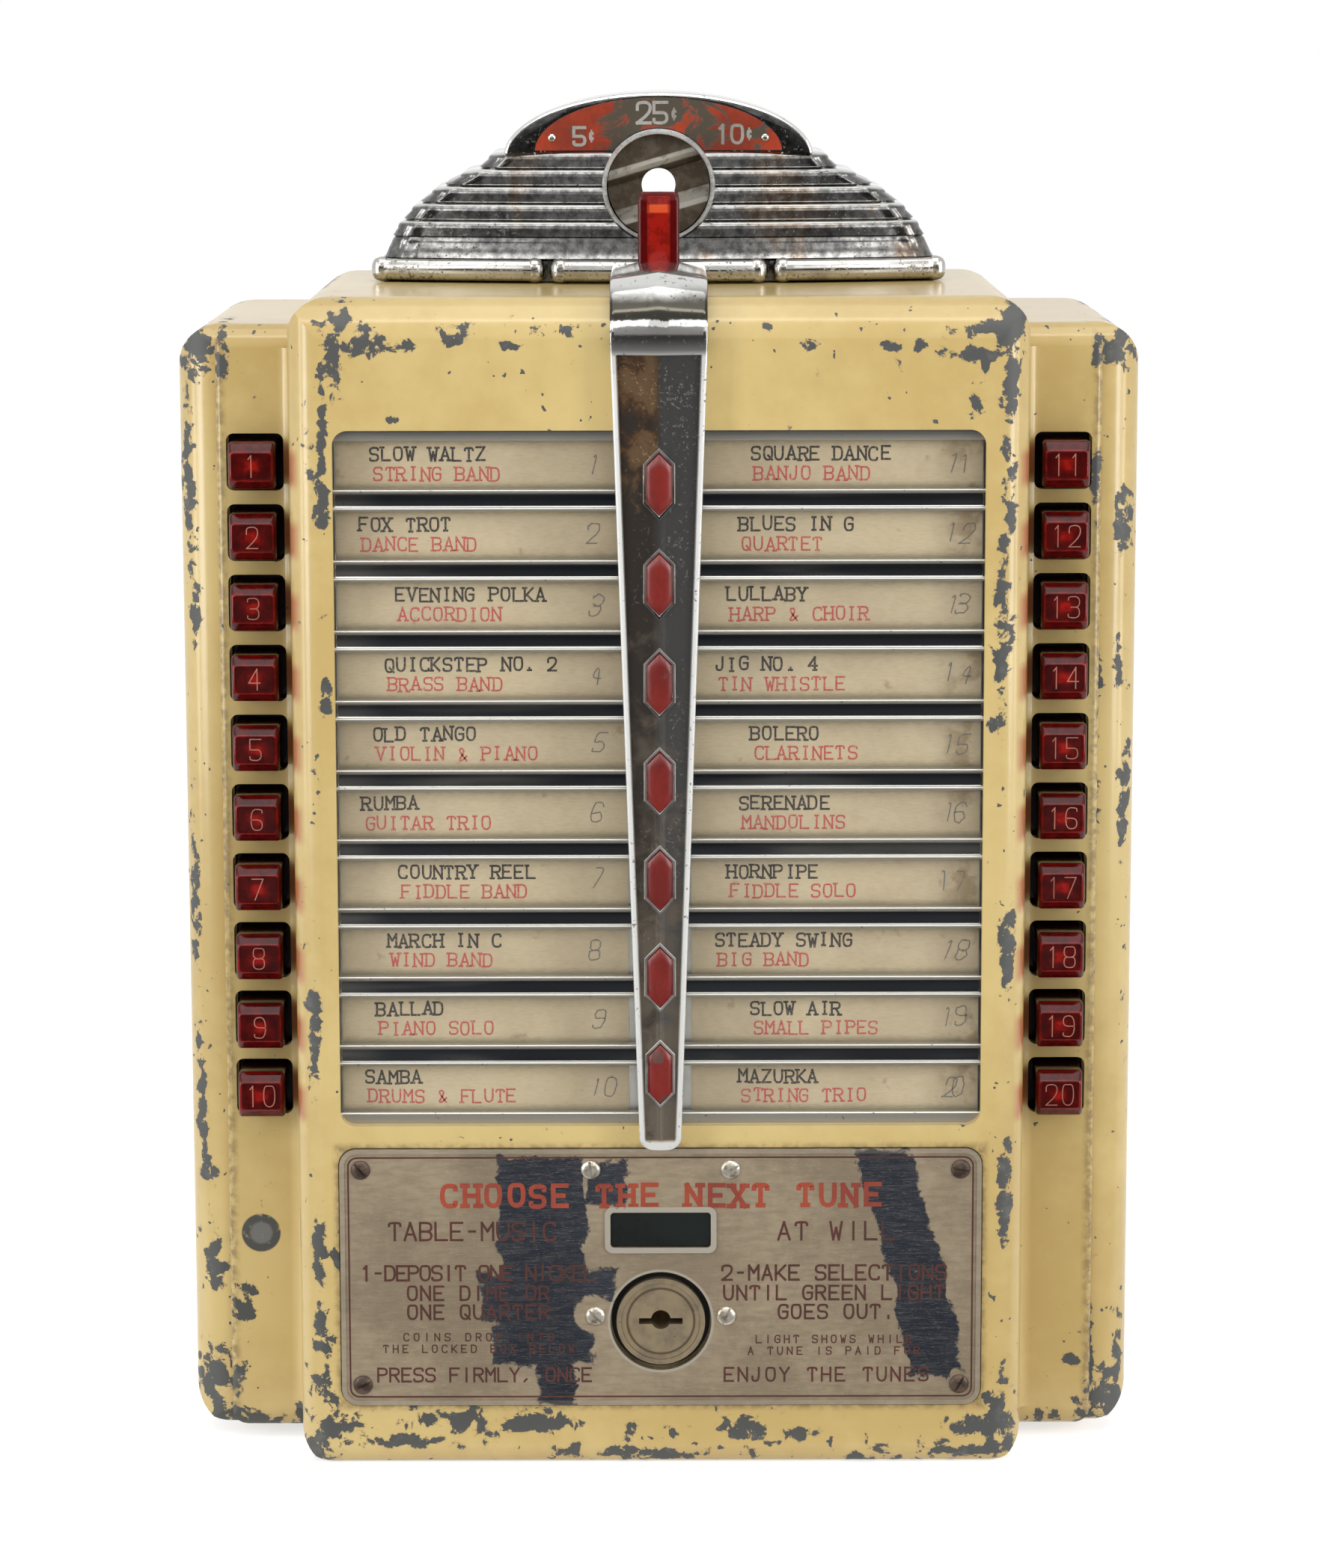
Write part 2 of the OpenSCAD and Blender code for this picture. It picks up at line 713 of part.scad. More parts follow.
module head_body() {
    union() {
        bow_slab(head_w / 2, plinth_back, head_z, band_z + lap);
        bow_slab(rib_arch_a, 1.6, band_z, rib_z + lap);
        bow_nose(rib_arch_a, 0, band_z + band_h / 2, band_h / 2 - lap);
        for (k = [0:ribs - 1]) {
            bow_slab(rib_x(k), 2.8 + k * rib_back, rib_z + k * rib_pitch,
                     rib_z + (k + 1) * rib_pitch + (k < ribs - 1 ? lap : 0));
            bow_nose(rib_x(k), 1.2 + k * rib_back, rib_z + (k + 0.5) * rib_pitch, rib_r);
        }
    }
}

module crest_outline(a, b) translate([0, crest_z]) polygon(arch(a, b, 48));

// Bumper bar along the head's foot, with turned-back ends
module bumper(x0, x1, y, turn) {
    z = head_z + bumper_up;
    d = bumper_d;
    translate([x0, y, z]) rotate([0, 90, 0]) cylinder(h = x1 - x0, d = d);
    for (x = [x0, x1]) translate([x, y, z]) sphere(d = d + 0.6);
    for (x = [x0, x1]) rod_y(x, z, y, y + turn, d);
}

module coin_head() color("#b4b4b2") in_case() difference() {
    union() {
        head_body();
        along_y(crest_y, head_back_y - 6) crest_outline(crest_w / 2, crest_h);
        rod_y(0, dial_z, ring_y, crest_y + 8, dial_d + 2 * ring_w);
        bumper(-bumper_mid_x, bumper_mid_x, head_y, 8);
        both_sides() bumper(bumper_side_x, head_w / 2 - 3.2, head_y + bumper_side_y, 10);
        for (x = [-stud_x, stud_x])
            translate([x, stud_y, head_z - stud_len]) cylinder(h = stud_len + 2, d = stud_d);
    }
    // Recess of the value plate
    along_y(crest_y - over, crest_y + value_sink) crest_outline(crest_w / 2 - value_in, crest_h - value_low);
    // Seat of the bezel, dial chamber, hub bore and the coin's way down
    rod_y(0, dial_z, head_y - clear_front, ring_y, dial_d + 2 * ring_w + 2 * run);
    rod_y(0, dial_z, head_y - clear_front, chamber_y, dial_d + 0.4);
    rod_y(0, dial_z, chamber_y - over, head_back_y + over, hub_d + 2 * run);
    block_from([-dial_d / 2 - 0.2, slot_y, head_z - over], [dial_d / 2 + 0.2, chamber_y, dial_z]);
}

module dial_bezel() color("#c4c4c0") in_case()
    translate([0, ring_y, dial_z]) rotate([90, 0, 0]) rotate_extrude()
        polygon([[dial_d / 2, 0], [dial_d / 2 + ring_w, 0], [dial_d / 2 + ring_w, bezel_t - ring_w],
                 [dial_d / 2 + 0.6 * ring_w, bezel_t], [dial_d / 2 + 0.3 * ring_w, bezel_t],
                 [dial_d / 2, bezel_t - 0.4 * ring_w]]);

module value_plate() color("#a83a1c") in_case() difference() {
    along_y(crest_y - 0.2, crest_y + value_sink)
        crest_outline(crest_w / 2 - value_in - seat, crest_h - value_low - seat);
    rod_y(0, dial_z, crest_y - over, crest_y + 2 * over, dial_d + 2 * ring_w + 2 * seat);
    block_from([-crest_w, crest_y - over, crest_z - over], [crest_w, crest_y + 2 * over, crest_z + seat]);
}

module jewel() color("#a01010") in_case()
    translate([0, jewel_y + jewel_d / 2, block_top + pil_proud - jewel_sink]) {
        linear_extrude(jewel_h + jewel_sink - 0.8)
            polygon([[-jewel_w / 2, -jewel_d / 2 + 1.2], [-jewel_w / 2 + 1.2, -jewel_d / 2],
                     [jewel_w / 2 - 1.2, -jewel_d / 2], [jewel_w / 2, -jewel_d / 2 + 1.2],
                     [jewel_w / 2, jewel_d / 2], [-jewel_w / 2, jewel_d / 2]]);
        translate([-jewel_w / 2 + 0.8, -jewel_d / 2 + 0.8, jewel_h + jewel_sink - 0.9])
            cube([jewel_w - 1.6, jewel_d - 1.6, 0.9]);
    }

/* Name plate, indicator and lock */

module nameplate() color("#b5a78c") in_case() difference() {
    union() {
        along_y(recess_d - plate_t, recess_d) plate_outline(0);
        along_y(recess_d - plate_t - rim_t, recess_d) difference() {
            plate_outline(0);
            plate_outline(-plate_rim);
        }
        along_y(recess_d - plate_t - rim_t - 0.2, recess_d) translate([0, lens_z])
            round_frame(lens_w + 2 * lens_frame, lens_h + 2 * lens_frame, 2.2);
    }
    rod_y(0, lock_z, recess_d - plate_t - over, recess_d + over, lock_hole_d);
    along_y(recess_d - plate_t - 2 * over, recess_d + over) translate([0, lens_z])
        round_frame(lens_w, lens_h, 1);
    for (p = screw_places()) rod_y(p[0], p[1], recess_d - plate_t - over, recess_d + over, screw_d + 2 * run);
}

module nameplate_screws() color("#a8a69c") in_case()
    for (p = screw_places()) {
        rod_y(p[0], p[1], recess_d - plate_t, wall + 2, screw_d);
        difference() {
            rod_y(p[0], p[1], recess_d - plate_t - head_t, recess_d - plate_t, screw_head_d);
            block_from([p[0] - screw_head_d, recess_d - plate_t - head_t - over, p[1] - slot_t / 2],
                       [p[0] + screw_head_d, recess_d - plate_t - head_t + 0.5, p[1] + slot_t / 2]);
        }
    }

module indicator_lens() color("#16241c") in_case() {
    along_y(0, wall) translate([0, lens_z]) round_frame(lens_w - 2 * seat, lens_h - 2 * seat, 1);
    along_y(wall, wall + 1.2) translate([0, lens_z]) round_frame(lens_w + 2 * lens_lip, lens_h + 2 * lens_lip, 1);
}

module lock_barrel() color("#9c8f74") in_case() difference() {
    union() {
        rod_y(0, lock_z, barrel_y, barrel_end_y, lock_d);
        rod_y(0, lock_z, wall, wall + lock_lip_t, lock_hole_d + 2 * lock_lip);
    }
    rod_y(0, lock_z, barrel_y - over, barrel_end_y + over, plug_d + 2 * run);
}

module lock_plug() color("#8c7d60") in_case() difference() {
    union() {
        rod_y(0, lock_z, barrel_y + plug_sink, barrel_end_y + 0.3, plug_d);
        rod_y(0, lock_z, barrel_end_y, cam_y + cam_t, cam_hub_d);
    }
    // Keyway
    block_from([-key_w / 2, barrel_y - over, lock_z - key_t / 2],
               [key_w / 2, barrel_end_y - 6, lock_z + key_t / 2]);
    rod_y(0, lock_z + key_t / 4, barrel_y - over, barrel_end_y - 6, key_mid_d);
}

module lock_cam() color("#8d8a80") in_case() difference() {
    union() {
        rod_y(0, lock_z, cam_y, cam_y + cam_t, cam_w);
        block_from([-cam_w / 2, cam_y, lock_z - cam_len], [cam_w / 2, cam_y + cam_t, lock_z]);
    }
    rod_y(0, lock_z, cam_y - over, cam_y + cam_t + over, cam_hub_d);
}

module coin_dial() color("#6f675a") in_case() difference() {
    union() {
        rod_y(0, dial_z, dial_y, dial_y + dial_t, dial_d - 0.4);
        rod_y(0, dial_z, dial_y + dial_t - over, dial_y + dial_t + hub_len, hub_d);
    }
    // Coin channel across the face, with sloping walls
    translate([0, dial_y, dial_z]) rotate([0, -coin_tilt, 0]) along_x(-dial_d, dial_d)
        polygon([[-over, -coin_channel_w / 2], [0, -coin_channel_w / 2], [coin_channel_d, -coin_channel_w / 4],
                 [coin_channel_d, coin_channel_w / 4], [0, coin_channel_w / 2], [-over, coin_channel_w / 2]]);
    rod_y(0, dial_z, dial_y - over, dial_y + dial_t + over, sight_d);
    rod_y(0, dial_z, dial_y + dial_t, dial_y + dial_t + hub_len + over, hub_d - 5);
}

/* Back plate and works */

module back_plate() color("#7b7a72") in_case() difference() {
    along_y(plate_y, case_d) union() {
        rounded([-block_x + wall + slip, wall + slip], [block_x - wall - slip, block_top - wall - slip],
                block_top_r - wall, block_top_r - wall);
        rounded([-case_x + wall + slip, wing_foot + wall + slip],
                [case_x - wall - slip, wing_top - wall - slip],
                wing_corner_r - wall, wing_corner_r - wall);
    }
    for (x = [-wall_x / 2, wall_x / 2]) for (z = [-wall_z / 2, wall_z / 2])
        rod_y(x, wall_mid_z + z, plate_y - over, case_d + over, wall_d);
    rod_y(grommet_x, grommet_z, plate_y - over, case_d + over, grommet_d + 2 * run);
}

module cable_grommet() color("#2b2a28") in_case() difference() {
    union() {
        rod_y(grommet_x, grommet_z, plate_y - 3, plate_y, grommet_d + 6);
        rod_y(grommet_x, grommet_z, plate_y - 3, case_d, grommet_d);
    }
    rod_y(grommet_x, grommet_z, plate_y - 3 - over, case_d + over, cable_d);
}

module locating_pins() color("#9a988e") in_case()
    both_sides() for (z = locate_z) rod_y(locate_x, z, plate_y - pin_depth, plate_y, locate_d);

// Folded steel angle that guides ten stems, on the right; the left is its mirror
module button_rail() difference() {
    union() {
        block_from([rail_in_x, guide_y, rail_z0], [rail_out_x, guide_y + steel_t, rail_z1]);
        block_from([rail_in_x, guide_y, rail_z0], [rail_in_x + steel_t, plate_y, rail_z1]);
    }
    for (i = [0:rows - 1])
        rod_y(channel_x, button_z(i), guide_y - over, guide_y + steel_t + over, stem_d + 2 * run);
}

module button_rail_right() color("#8a887e") in_case() button_rail();

module button_rail_left() color("#8a887e") in_case() mirror([1, 0, 0]) button_rail();

module switch_strips() color("#3a2a1e") in_case() both_sides()
    block_from([strip_x, guide_y + steel_t, rail_z0 + 2],
               [strip_x + strip_w, blade_y + blade_step + 4, rail_z1 - 2]);

module contact_blades() color("#b08d4f") in_case()
    both_sides() for (i = [0:rows - 1]) for (k = [0, 1])
        block_from([channel_x - 3, blade_y + k * blade_step, button_z(i) - blade_w / 2],
                   [strip_x, blade_y + k * blade_step + blade_t, button_z(i) + blade_w / 2]);

module lamp_holders() color("#a89a6c") in_case() {
    both_sides() translate([rail_in_x - holder_len, lamp_y, lamp_z]) rotate([0, 90, 0])
        cylinder(h = holder_len, d = lamp_d + 2);
    block_from([-post_w / 2, pilot_y + 2 * pilot_d - post_d, shelf_z + steel_t],
               [post_w / 2, pilot_y + 2 * pilot_d, lens_z]);
    rod_y(0, pilot_z, pilot_y + pilot_d, pilot_y + 2 * pilot_d, pilot_d + 2);
}

module lamps() color("#e8e2c8", 0.6) in_case() {
    both_sides() translate([rail_in_x - holder_len - lamp_len, lamp_y, lamp_z]) {
        rotate([0, 90, 0]) cylinder(h = lamp_len, d = lamp_d);
        sphere(d = lamp_d);
    }
    rod_y(0, pilot_z, pilot_y, pilot_y + pilot_d, pilot_d);
    translate([0, pilot_y, pilot_z]) sphere(d = pilot_d);
}

module coin_chute() color("#8f8d84") in_case() difference() {
    union() {
        block_from([-chute_w / 2 - steel_t, chute_y - steel_t, chute_z0],
                   [chute_w / 2 + steel_t, chute_y + chute_d + steel_t, chute_top_z]);
        for (z = [trans_z0, trans_z1])
            block_from([-chute_w / 2 - steel_t, chute_y + chute_d, z],
                       [chute_w / 2 + steel_t, plate_y, z + steel_t]);
    }
    block_from([-chute_w / 2, chute_y, chute_z0 - over], [chute_w / 2, chute_y + chute_d, chute_top_z + over]);
}

module coin_switch() color("#43301f") in_case() {
    x = chute_w / 2 + steel_t;
    block_from([x, chute_y, switch_z], [x + switch_w, chute_y + chute_d, switch_z + switch_h]);
    block_from([x + 3, chute_y, switch_z + switch_h], [x + 3.5, chute_y + 5, switch_z + switch_h + lever_h]);
}

module cash_carrier() color("#7b7a72") in_case() difference() {
    along_x(-cash_w / 2 - 3, cash_w / 2 + 3) union() {
        translate([cash_y - 2, carrier_z]) square([plate_y - cash_y + 2, steel_t]);
        translate([plate_y - steel_t, carrier_z]) square([steel_t, shelf_z + steel_t - carrier_z]);
        translate([keeper_y + steel_t + 0.5, shelf_z])
            square([plate_y - keeper_y - steel_t - 0.5, steel_t]);
    }
    block_from([-chute_w / 2, chute_y, shelf_z - over],
               [chute_w / 2, chute_y + chute_d, shelf_z + steel_t + over]);
}

module cash_box() color("#5d5c56") in_case() difference() {
    union() {
        block_from([-cash_w / 2, cash_y, cash_z], [cash_w / 2, cash_back_y, cash_z + cash_h]);
        block_from([-grip_w / 2, cash_y - grip_d, cash_z + cash_h - 6],
                   [grip_w / 2, cash_y, cash_z + cash_h - 6 + steel_t]);
    }
    block_from([-cash_w / 2 + steel_t, cash_y + steel_t, cash_z + steel_t],
               [cash_w / 2 - steel_t, cash_back_y - steel_t, cash_z + cash_h + over]);
}

module latch_keeper() color("#8d8a80") in_case() {
    block_from([keeper_x, keeper_y, lock_z - keeper_drop],
               [keeper_x + keeper_w, keeper_y + steel_t, shelf_z + 2 * steel_t]);
    block_from([keeper_x, keeper_y, shelf_z + steel_t],
               [keeper_x + keeper_w, keeper_y + keeper_arm, shelf_z + 2 * steel_t]);
}

module transmitter_chassis() color("#6c6b64") in_case() {
    difference() {
        block_from([trans_x - trans_w / 2, trans_y, trans_z0], [trans_x + trans_w / 2, plate_y, trans_z1]);
        block_from([trans_x - trans_w / 2 + steel_t, trans_y + steel_t, trans_z0 + steel_t],
                   [trans_x + trans_w / 2 - steel_t, plate_y + over, trans_z1 - steel_t]);
    }
    for (k = [0:2]) rod_y(trans_x, valve_z + k * valve_pitch, trans_y - socket_t, trans_y, socket_d);
}

module valves() color("#8f9694", 0.5) in_case()
    for (k = [0:2]) translate([trans_x, trans_y - socket_t, valve_z + k * valve_pitch]) rotate([90, 0, 0]) {
        cylinder(h = valve_len - valve_d / 2, d = valve_d);
        translate([0, 0, valve_len - valve_d / 2]) sphere(d = valve_d);
    }

module power_transformer() color("#33312d") in_case() {
    z0 = shelf_z + core_lift;
    block_from([core_x[0], plate_y - core_d, z0], [core_x[1], plate_y, z0 + core_h]);
    block_from([core_x[0] + coil_in[0], plate_y - core_d - coil_d, z0 + coil_in[1]],
               [core_x[1] - coil_in[0], plate_y - core_d, z0 + core_h - coil_in[1]]);
}

module capacitors() color("#9fa1a0") in_case()
    for (x = can_x) rod_y(x, can_z, plate_y - can_len, plate_y, can_d);

module pulse_motor() color("#55544e") in_case() difference() {
    rod_y(disc_x, disc_z, motor_y, plate_y, motor_d);
    rod_y(disc_x, disc_z, motor_y - over, motor_y + motor_bore, shaft_d + 2 * run);
}

module contact_disc() color("#4a3020") in_case() difference() {
    union() {
        rod_y(disc_x, disc_z, motor_y - disc_t, motor_y, disc_d);
        for (k = [0:studs - 1]) rod_y(disc_x + stud_ring * cos(k * 360 / studs),
                                      disc_z + stud_ring * sin(k * 360 / studs),
                                      motor_y - disc_t - contact_t, motor_y - disc_t, contact_d);
    }
    rod_y(disc_x, disc_z, motor_y - disc_t - over, motor_y + over, shaft_d + 2 * run);
}

module wiper() color("#b08d4f") in_case() {
    rod_y(disc_x, disc_z, wiper_y, motor_y + shaft_in, shaft_d);
    rod_y(disc_x, disc_z, wiper_y, wiper_y + arm_t, 2 * shaft_d);
    block_from([disc_x - arm_w / 2, wiper_y, disc_z],
               [disc_x + arm_w / 2, wiper_y + arm_t, disc_z + stud_ring + contact_d / 2]);
    rod_y(disc_x, disc_z + stud_ring, wiper_y, motor_y - disc_t - contact_t - seat, contact_d);
}

/* Push buttons: 1 to 10 down the left side, 11 to 20 down the right */

module button(n) color("#8a1210") in_case() {
    side = n <= rows ? -1 : 1;
    i = (n - 1) % rows;
    translate([side * channel_x, 0, button_z(i)]) {
        along_x(-cap_w / 2, cap_w / 2)
            polygon([[flange_y, -cap_w / 2], [cap_y + cap_bevel, -cap_w / 2], [cap_y, -cap_w / 2 + cap_bevel],
                     [cap_y, cap_w / 2 - cap_bevel], [cap_y + cap_bevel, cap_w / 2], [flange_y, cap_w / 2]]);
        block_from([-flange_w / 2, flange_y, -flange_w / 2],
                   [flange_w / 2, flange_y + flange_t, flange_w / 2]);
        rod_y(0, 0, flange_y + flange_t, stem_end_y, stem_d);
        rod_y(0, 0, guide_y + steel_t + seat, guide_y + steel_t + seat + collar_t, collar_d);
    }
}

back_plate();
cable_grommet();
locating_pins();
button_rail_left();
button_rail_right();
switch_strips();
contact_blades();
lamp_holders();
lamps();
coin_chute();
coin_switch();
cash_carrier();
cash_box();
latch_keeper();
transmitter_chassis();
power_transformer();
valves();
capacitors();
pulse_motor();
contact_disc();
wiper();
cover_shell();
stud_nuts();
window_glass();
title_rails();
title_cards();
title_board();
pilaster();
pilaster_enamels();
coin_head();
dial_bezel();
value_plate();
jewel();
nameplate();
nameplate_screws();
indicator_lens();
lock_barrel();
coin_dial();
lock_plug();
lock_cam();
button(1);  // button_01
button(2);  // button_02
button(3);  // button_03
button(4);  // button_04
button(5);  // button_05
button(6);  // button_06
button(7);  // button_07
button(8);  // button_08
button(9);  // button_09
button(10);  // button_10
button(11);  // button_11
button(12);  // button_12
button(13);  // button_13
button(14);  // button_14
button(15);  // button_15
button(16);  // button_16
button(17);  // button_17
button(18);  // button_18
button(19);  // button_19
button(20);  // button_20
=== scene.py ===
"""Dresses the wall box selector: enamelled case, chrome head and pilaster, buttons, cards and plate.

The file is laid out as an add-on and run as a script. Every piece is worked out in the frame of
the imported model, in metres, with its object at the origin.
"""

import math
from functools import reduce

import bpy
import numpy as np
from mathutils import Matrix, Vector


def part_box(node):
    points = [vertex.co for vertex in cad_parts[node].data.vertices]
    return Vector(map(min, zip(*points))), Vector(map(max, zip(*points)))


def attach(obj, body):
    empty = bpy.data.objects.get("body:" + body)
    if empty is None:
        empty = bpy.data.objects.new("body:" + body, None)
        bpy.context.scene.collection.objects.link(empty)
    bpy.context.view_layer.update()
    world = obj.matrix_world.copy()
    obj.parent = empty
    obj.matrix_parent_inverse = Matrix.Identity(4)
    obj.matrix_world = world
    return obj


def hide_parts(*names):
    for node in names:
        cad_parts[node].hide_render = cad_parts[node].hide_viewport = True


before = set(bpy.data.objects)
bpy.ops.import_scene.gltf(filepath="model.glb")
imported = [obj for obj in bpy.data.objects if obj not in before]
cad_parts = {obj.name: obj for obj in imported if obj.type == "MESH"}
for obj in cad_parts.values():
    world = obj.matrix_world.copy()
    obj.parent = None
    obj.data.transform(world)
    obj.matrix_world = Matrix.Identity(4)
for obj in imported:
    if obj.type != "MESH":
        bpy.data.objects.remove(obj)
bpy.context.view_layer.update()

bl_info = {
    "name": "Wall Box Selector",
    "version": (1, 0, 0),
    "blender": (4, 5, 0),
    "location": "View3D > Sidebar > Wall Box",
    "description": "Builds the visible pieces and finishes of a coin-operated wall box selector",
    "category": "Object",
}

MM = 0.001
ROWS = 10
BUTTONS = 2 * ROWS


def node_box(name):
    """Lowest and highest corner of a node as two arrays."""
    low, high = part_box(name)
    return np.array(low, float), np.array(high, float)


# Places that the pieces share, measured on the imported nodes
PLATE_LOW, PLATE_HIGH = node_box("nameplate")
CARDS_LOW, CARDS_HIGH = node_box("title_cards")
RAILS_LOW, RAILS_HIGH = node_box("title_rails")
HEAD_LOW, HEAD_HIGH = node_box("coin_head")
PILASTER_LOW, PILASTER_HIGH = node_box("pilaster")
RING_LOW, RING_HIGH = node_box("dial_bezel")
SHELL_LOW, SHELL_HIGH = node_box("cover_shell")
FRONT_Y = SHELL_LOW[1]
HEAD_LINE = FRONT_Y + 64 * MM
LOCK_Z = 40 * MM
CARD_TALL = 15.4 * MM
CARD_LONG = 76.2 * MM
JEWEL_TOP = node_box("jewel")[1][2]
DIAL_X = 0.5 * (RING_LOW[0] + RING_HIGH[0])
DIAL_Z = 0.5 * (RING_LOW[2] + RING_HIGH[2])


# ---- sizes and colours


def length(label, text, default, low=0.0, high=1.0):
    """A size in metres that a user may change."""
    return bpy.props.FloatProperty(
        name=label, description=text, default=default, min=low, max=high,
        subtype="DISTANCE", unit="LENGTH", precision=5)


def share(label, text, default, low=0.0, high=1.0):
    """A plain share between two bounds."""
    return bpy.props.FloatProperty(
        name=label, description=text, default=default, min=low, max=high, subtype="FACTOR")


def number(label, text, default, **limits):
    """A number with limits and a unit of its own."""
    return bpy.props.FloatProperty(name=label, description=text, default=default, **limits)


def colour(label, text, default):
    """A colour in linear light."""
    return bpy.props.FloatVectorProperty(
        name=label, description=text, default=default, size=3, min=0.0, max=1.0, subtype="COLOR")


class WallBoxPaint(bpy.types.PropertyGroup):
    """Colours and wear of the enamelled case, and the painted reflection of the buttons on it"""

    cream: colour("Cream", "Enamel where it is clean", (0.600, 0.455, 0.190))
    cream_deep: colour("Deep cream", "Enamel where it has yellowed", (0.515, 0.372, 0.140))
    primer: colour("Bare casting", "Dark metal where the enamel has chipped off", (0.058, 0.060, 0.056))
    worn_metal: colour("Rubbed casting", "Lighter metal inside the larger chips", (0.15, 0.15, 0.14))
    # Painted reflection: the red of the buttons, painted onto the enamel beside each one.
    glow: colour("Painted button reflection", "Red bloom on the enamel beside each button", (0.38, 0.115, 0.045))
    chip_level: share("Chip level", "Noise above which the enamel is missing", 0.705)
    edge_pull: share("Edge wear", "How much an edge lowers that level", 0.34)
    gloss: share("Roughness", "Roughness of clean enamel", 0.21)


class WallBoxMetal(bpy.types.PropertyGroup):
    """Colours and wear of the bright parts"""

    chrome: colour("Chrome", "Bright plating", (0.66, 0.66, 0.64))
    tarnish: colour("Tarnish", "Dark film on the plating", (0.085, 0.065, 0.045))
    rust: colour("Rust stain", "Brown stain on the pilaster", (0.30, 0.13, 0.035))
    nickel: colour("Nickel", "Scratched plate", (0.36, 0.285, 0.19))
    lock: colour("Lock face", "Worn nickel over brass", (0.48, 0.38, 0.24))
    steel: colour("Zinc steel", "Folded steel inside", (0.36, 0.35, 0.32))
    pit_amount: share("Pits", "Share of the plating that is pitted", 0.36)
    gloss: share("Roughness", "Roughness of clean plating", 0.10)


class WallBoxPlastic(bpy.types.PropertyGroup):
    """Sizes and colours of the buttons and the jewel"""

    red: colour("Button red", "Clear moulding", (0.016, 0.0015, 0.0015))
    # Painted glow: the brighter red painted into the caps' middles and along their bevels, standing in
    # for light through the plastic.
    red_core: colour("Painted button glow", "Brighter red deep in the moulding", (0.32, 0.008, 0.005))
    jewel: colour("Jewel red", "Clear prism", (0.075, 0.002, 0.002))
    number: colour("Number", "Filled engraving", (0.42, 0.15, 0.10))
    corner: length("Cap corner", "Rounding of a cap's edges", 0.9 * MM, 0.1 * MM, 2 * MM)
    digit: length("Digit height", "Height of the numbers on the caps", 5.6 * MM, 3 * MM, 8 * MM)


class WallBoxPaper(bpy.types.PropertyGroup):
    """Colours and sizes of the title cards and their lettering"""

    card: colour("Card", "Aged card", (0.50, 0.405, 0.27))
    ink: colour("Black ink", "Typed upper line", (0.028, 0.024, 0.021))
    red_ink: colour("Red ink", "Typed lower line", (0.43, 0.075, 0.06))
    pencil: colour("Pencil", "Handwritten numbers", (0.16, 0.15, 0.135))
    letter: length("Letter height", "Height of a typed capital", 3.35 * MM, 1 * MM, 5 * MM)
    pitch: length("Letter pitch", "Distance from letter to letter", 3.06 * MM, 1 * MM, 5 * MM)
    stroke: length("Letter stroke", "Width of a typed stroke", 0.56 * MM, 0.1 * MM, 1 * MM)


class WallBoxShape(bpy.types.PropertyGroup):
    """Sizes of the remade bright pieces"""

    rib_count: bpy.props.IntProperty(
        name="Ribs", description="Louvre ribs on each side of the head", default=5, min=3, max=8)
    plinth: length("Plinth", "Height of the head's foot", 6.6 * MM)
    flare: length("Flare", "Height of the flare above the foot", 5.4 * MM)
    crest: length("Crest", "Height of the crest above the ribs", 15.9 * MM)
    crest_half: length("Crest half-width", "Half the width of the crest", 42 * MM)
    crest_set: length("Crest set-back", "Depth of the crest behind the head's front", 10.5 * MM)
    rib_step: length("Rib step", "How far each rib stands behind the one below", 1.6 * MM)
    bow: length("Bow", "Radius of the head's front seen from above", 232 * MM)
    rim: length("Pilaster rim", "Width of the pilaster's rims", 1.5 * MM)
    recess: length("Pilaster recess", "Depth of the sunk panel", 1.5 * MM)


class WallBoxStage(bpy.types.PropertyGroup):
    """Camera and light"""

    camera_x: length("Camera X", "Sideways place of the camera", 0.0005, -5.0, 5.0)
    camera_y: length("Camera Y", "Distance of the camera", -1.28415, -5.0, 5.0)
    camera_z: length("Camera Z", "Height of the camera", 0.38587, -5.0, 5.0)
    pitch: number("Pitch", "Downward tilt of the camera", math.radians(9.35), subtype="ANGLE",
                  unit="ROTATION")
    roll: number("Roll", "Roll of the camera", math.radians(0.12), subtype="ANGLE", unit="ROTATION")
    lens: number("Lens", "Focal length on a 36 mm sensor", 108.84, min=20, max=300, unit="CAMERA")
    world: share("World", "Strength of the plain surrounding light", 0.50, 0.0, 2.0)
    side: number("Side", "Power of each upright side lamp", 7.5, min=0.0, unit="POWER")
    line_glow: number("Line cards", "Glow of the narrow cards", 9.0, min=0.0, soft_max=20.0)
    floor_lift: share("Floor lift", "Extra white of the floor for the eye alone", 0.62, 0.0, 1.0)
    key: number("Key", "Power of the overhead softbox", 7.0, min=0.0, unit="POWER")


def settings(group):
    """The scene's property group of that name."""
    return getattr(bpy.context.scene, "wall_box_" + group)


# ---- surfaces


def new_object(name, data):
    """An object that carries the data, linked to the scene."""
    thing = bpy.data.objects.new(name, data)
    bpy.context.scene.collection.objects.link(thing)
    return thing


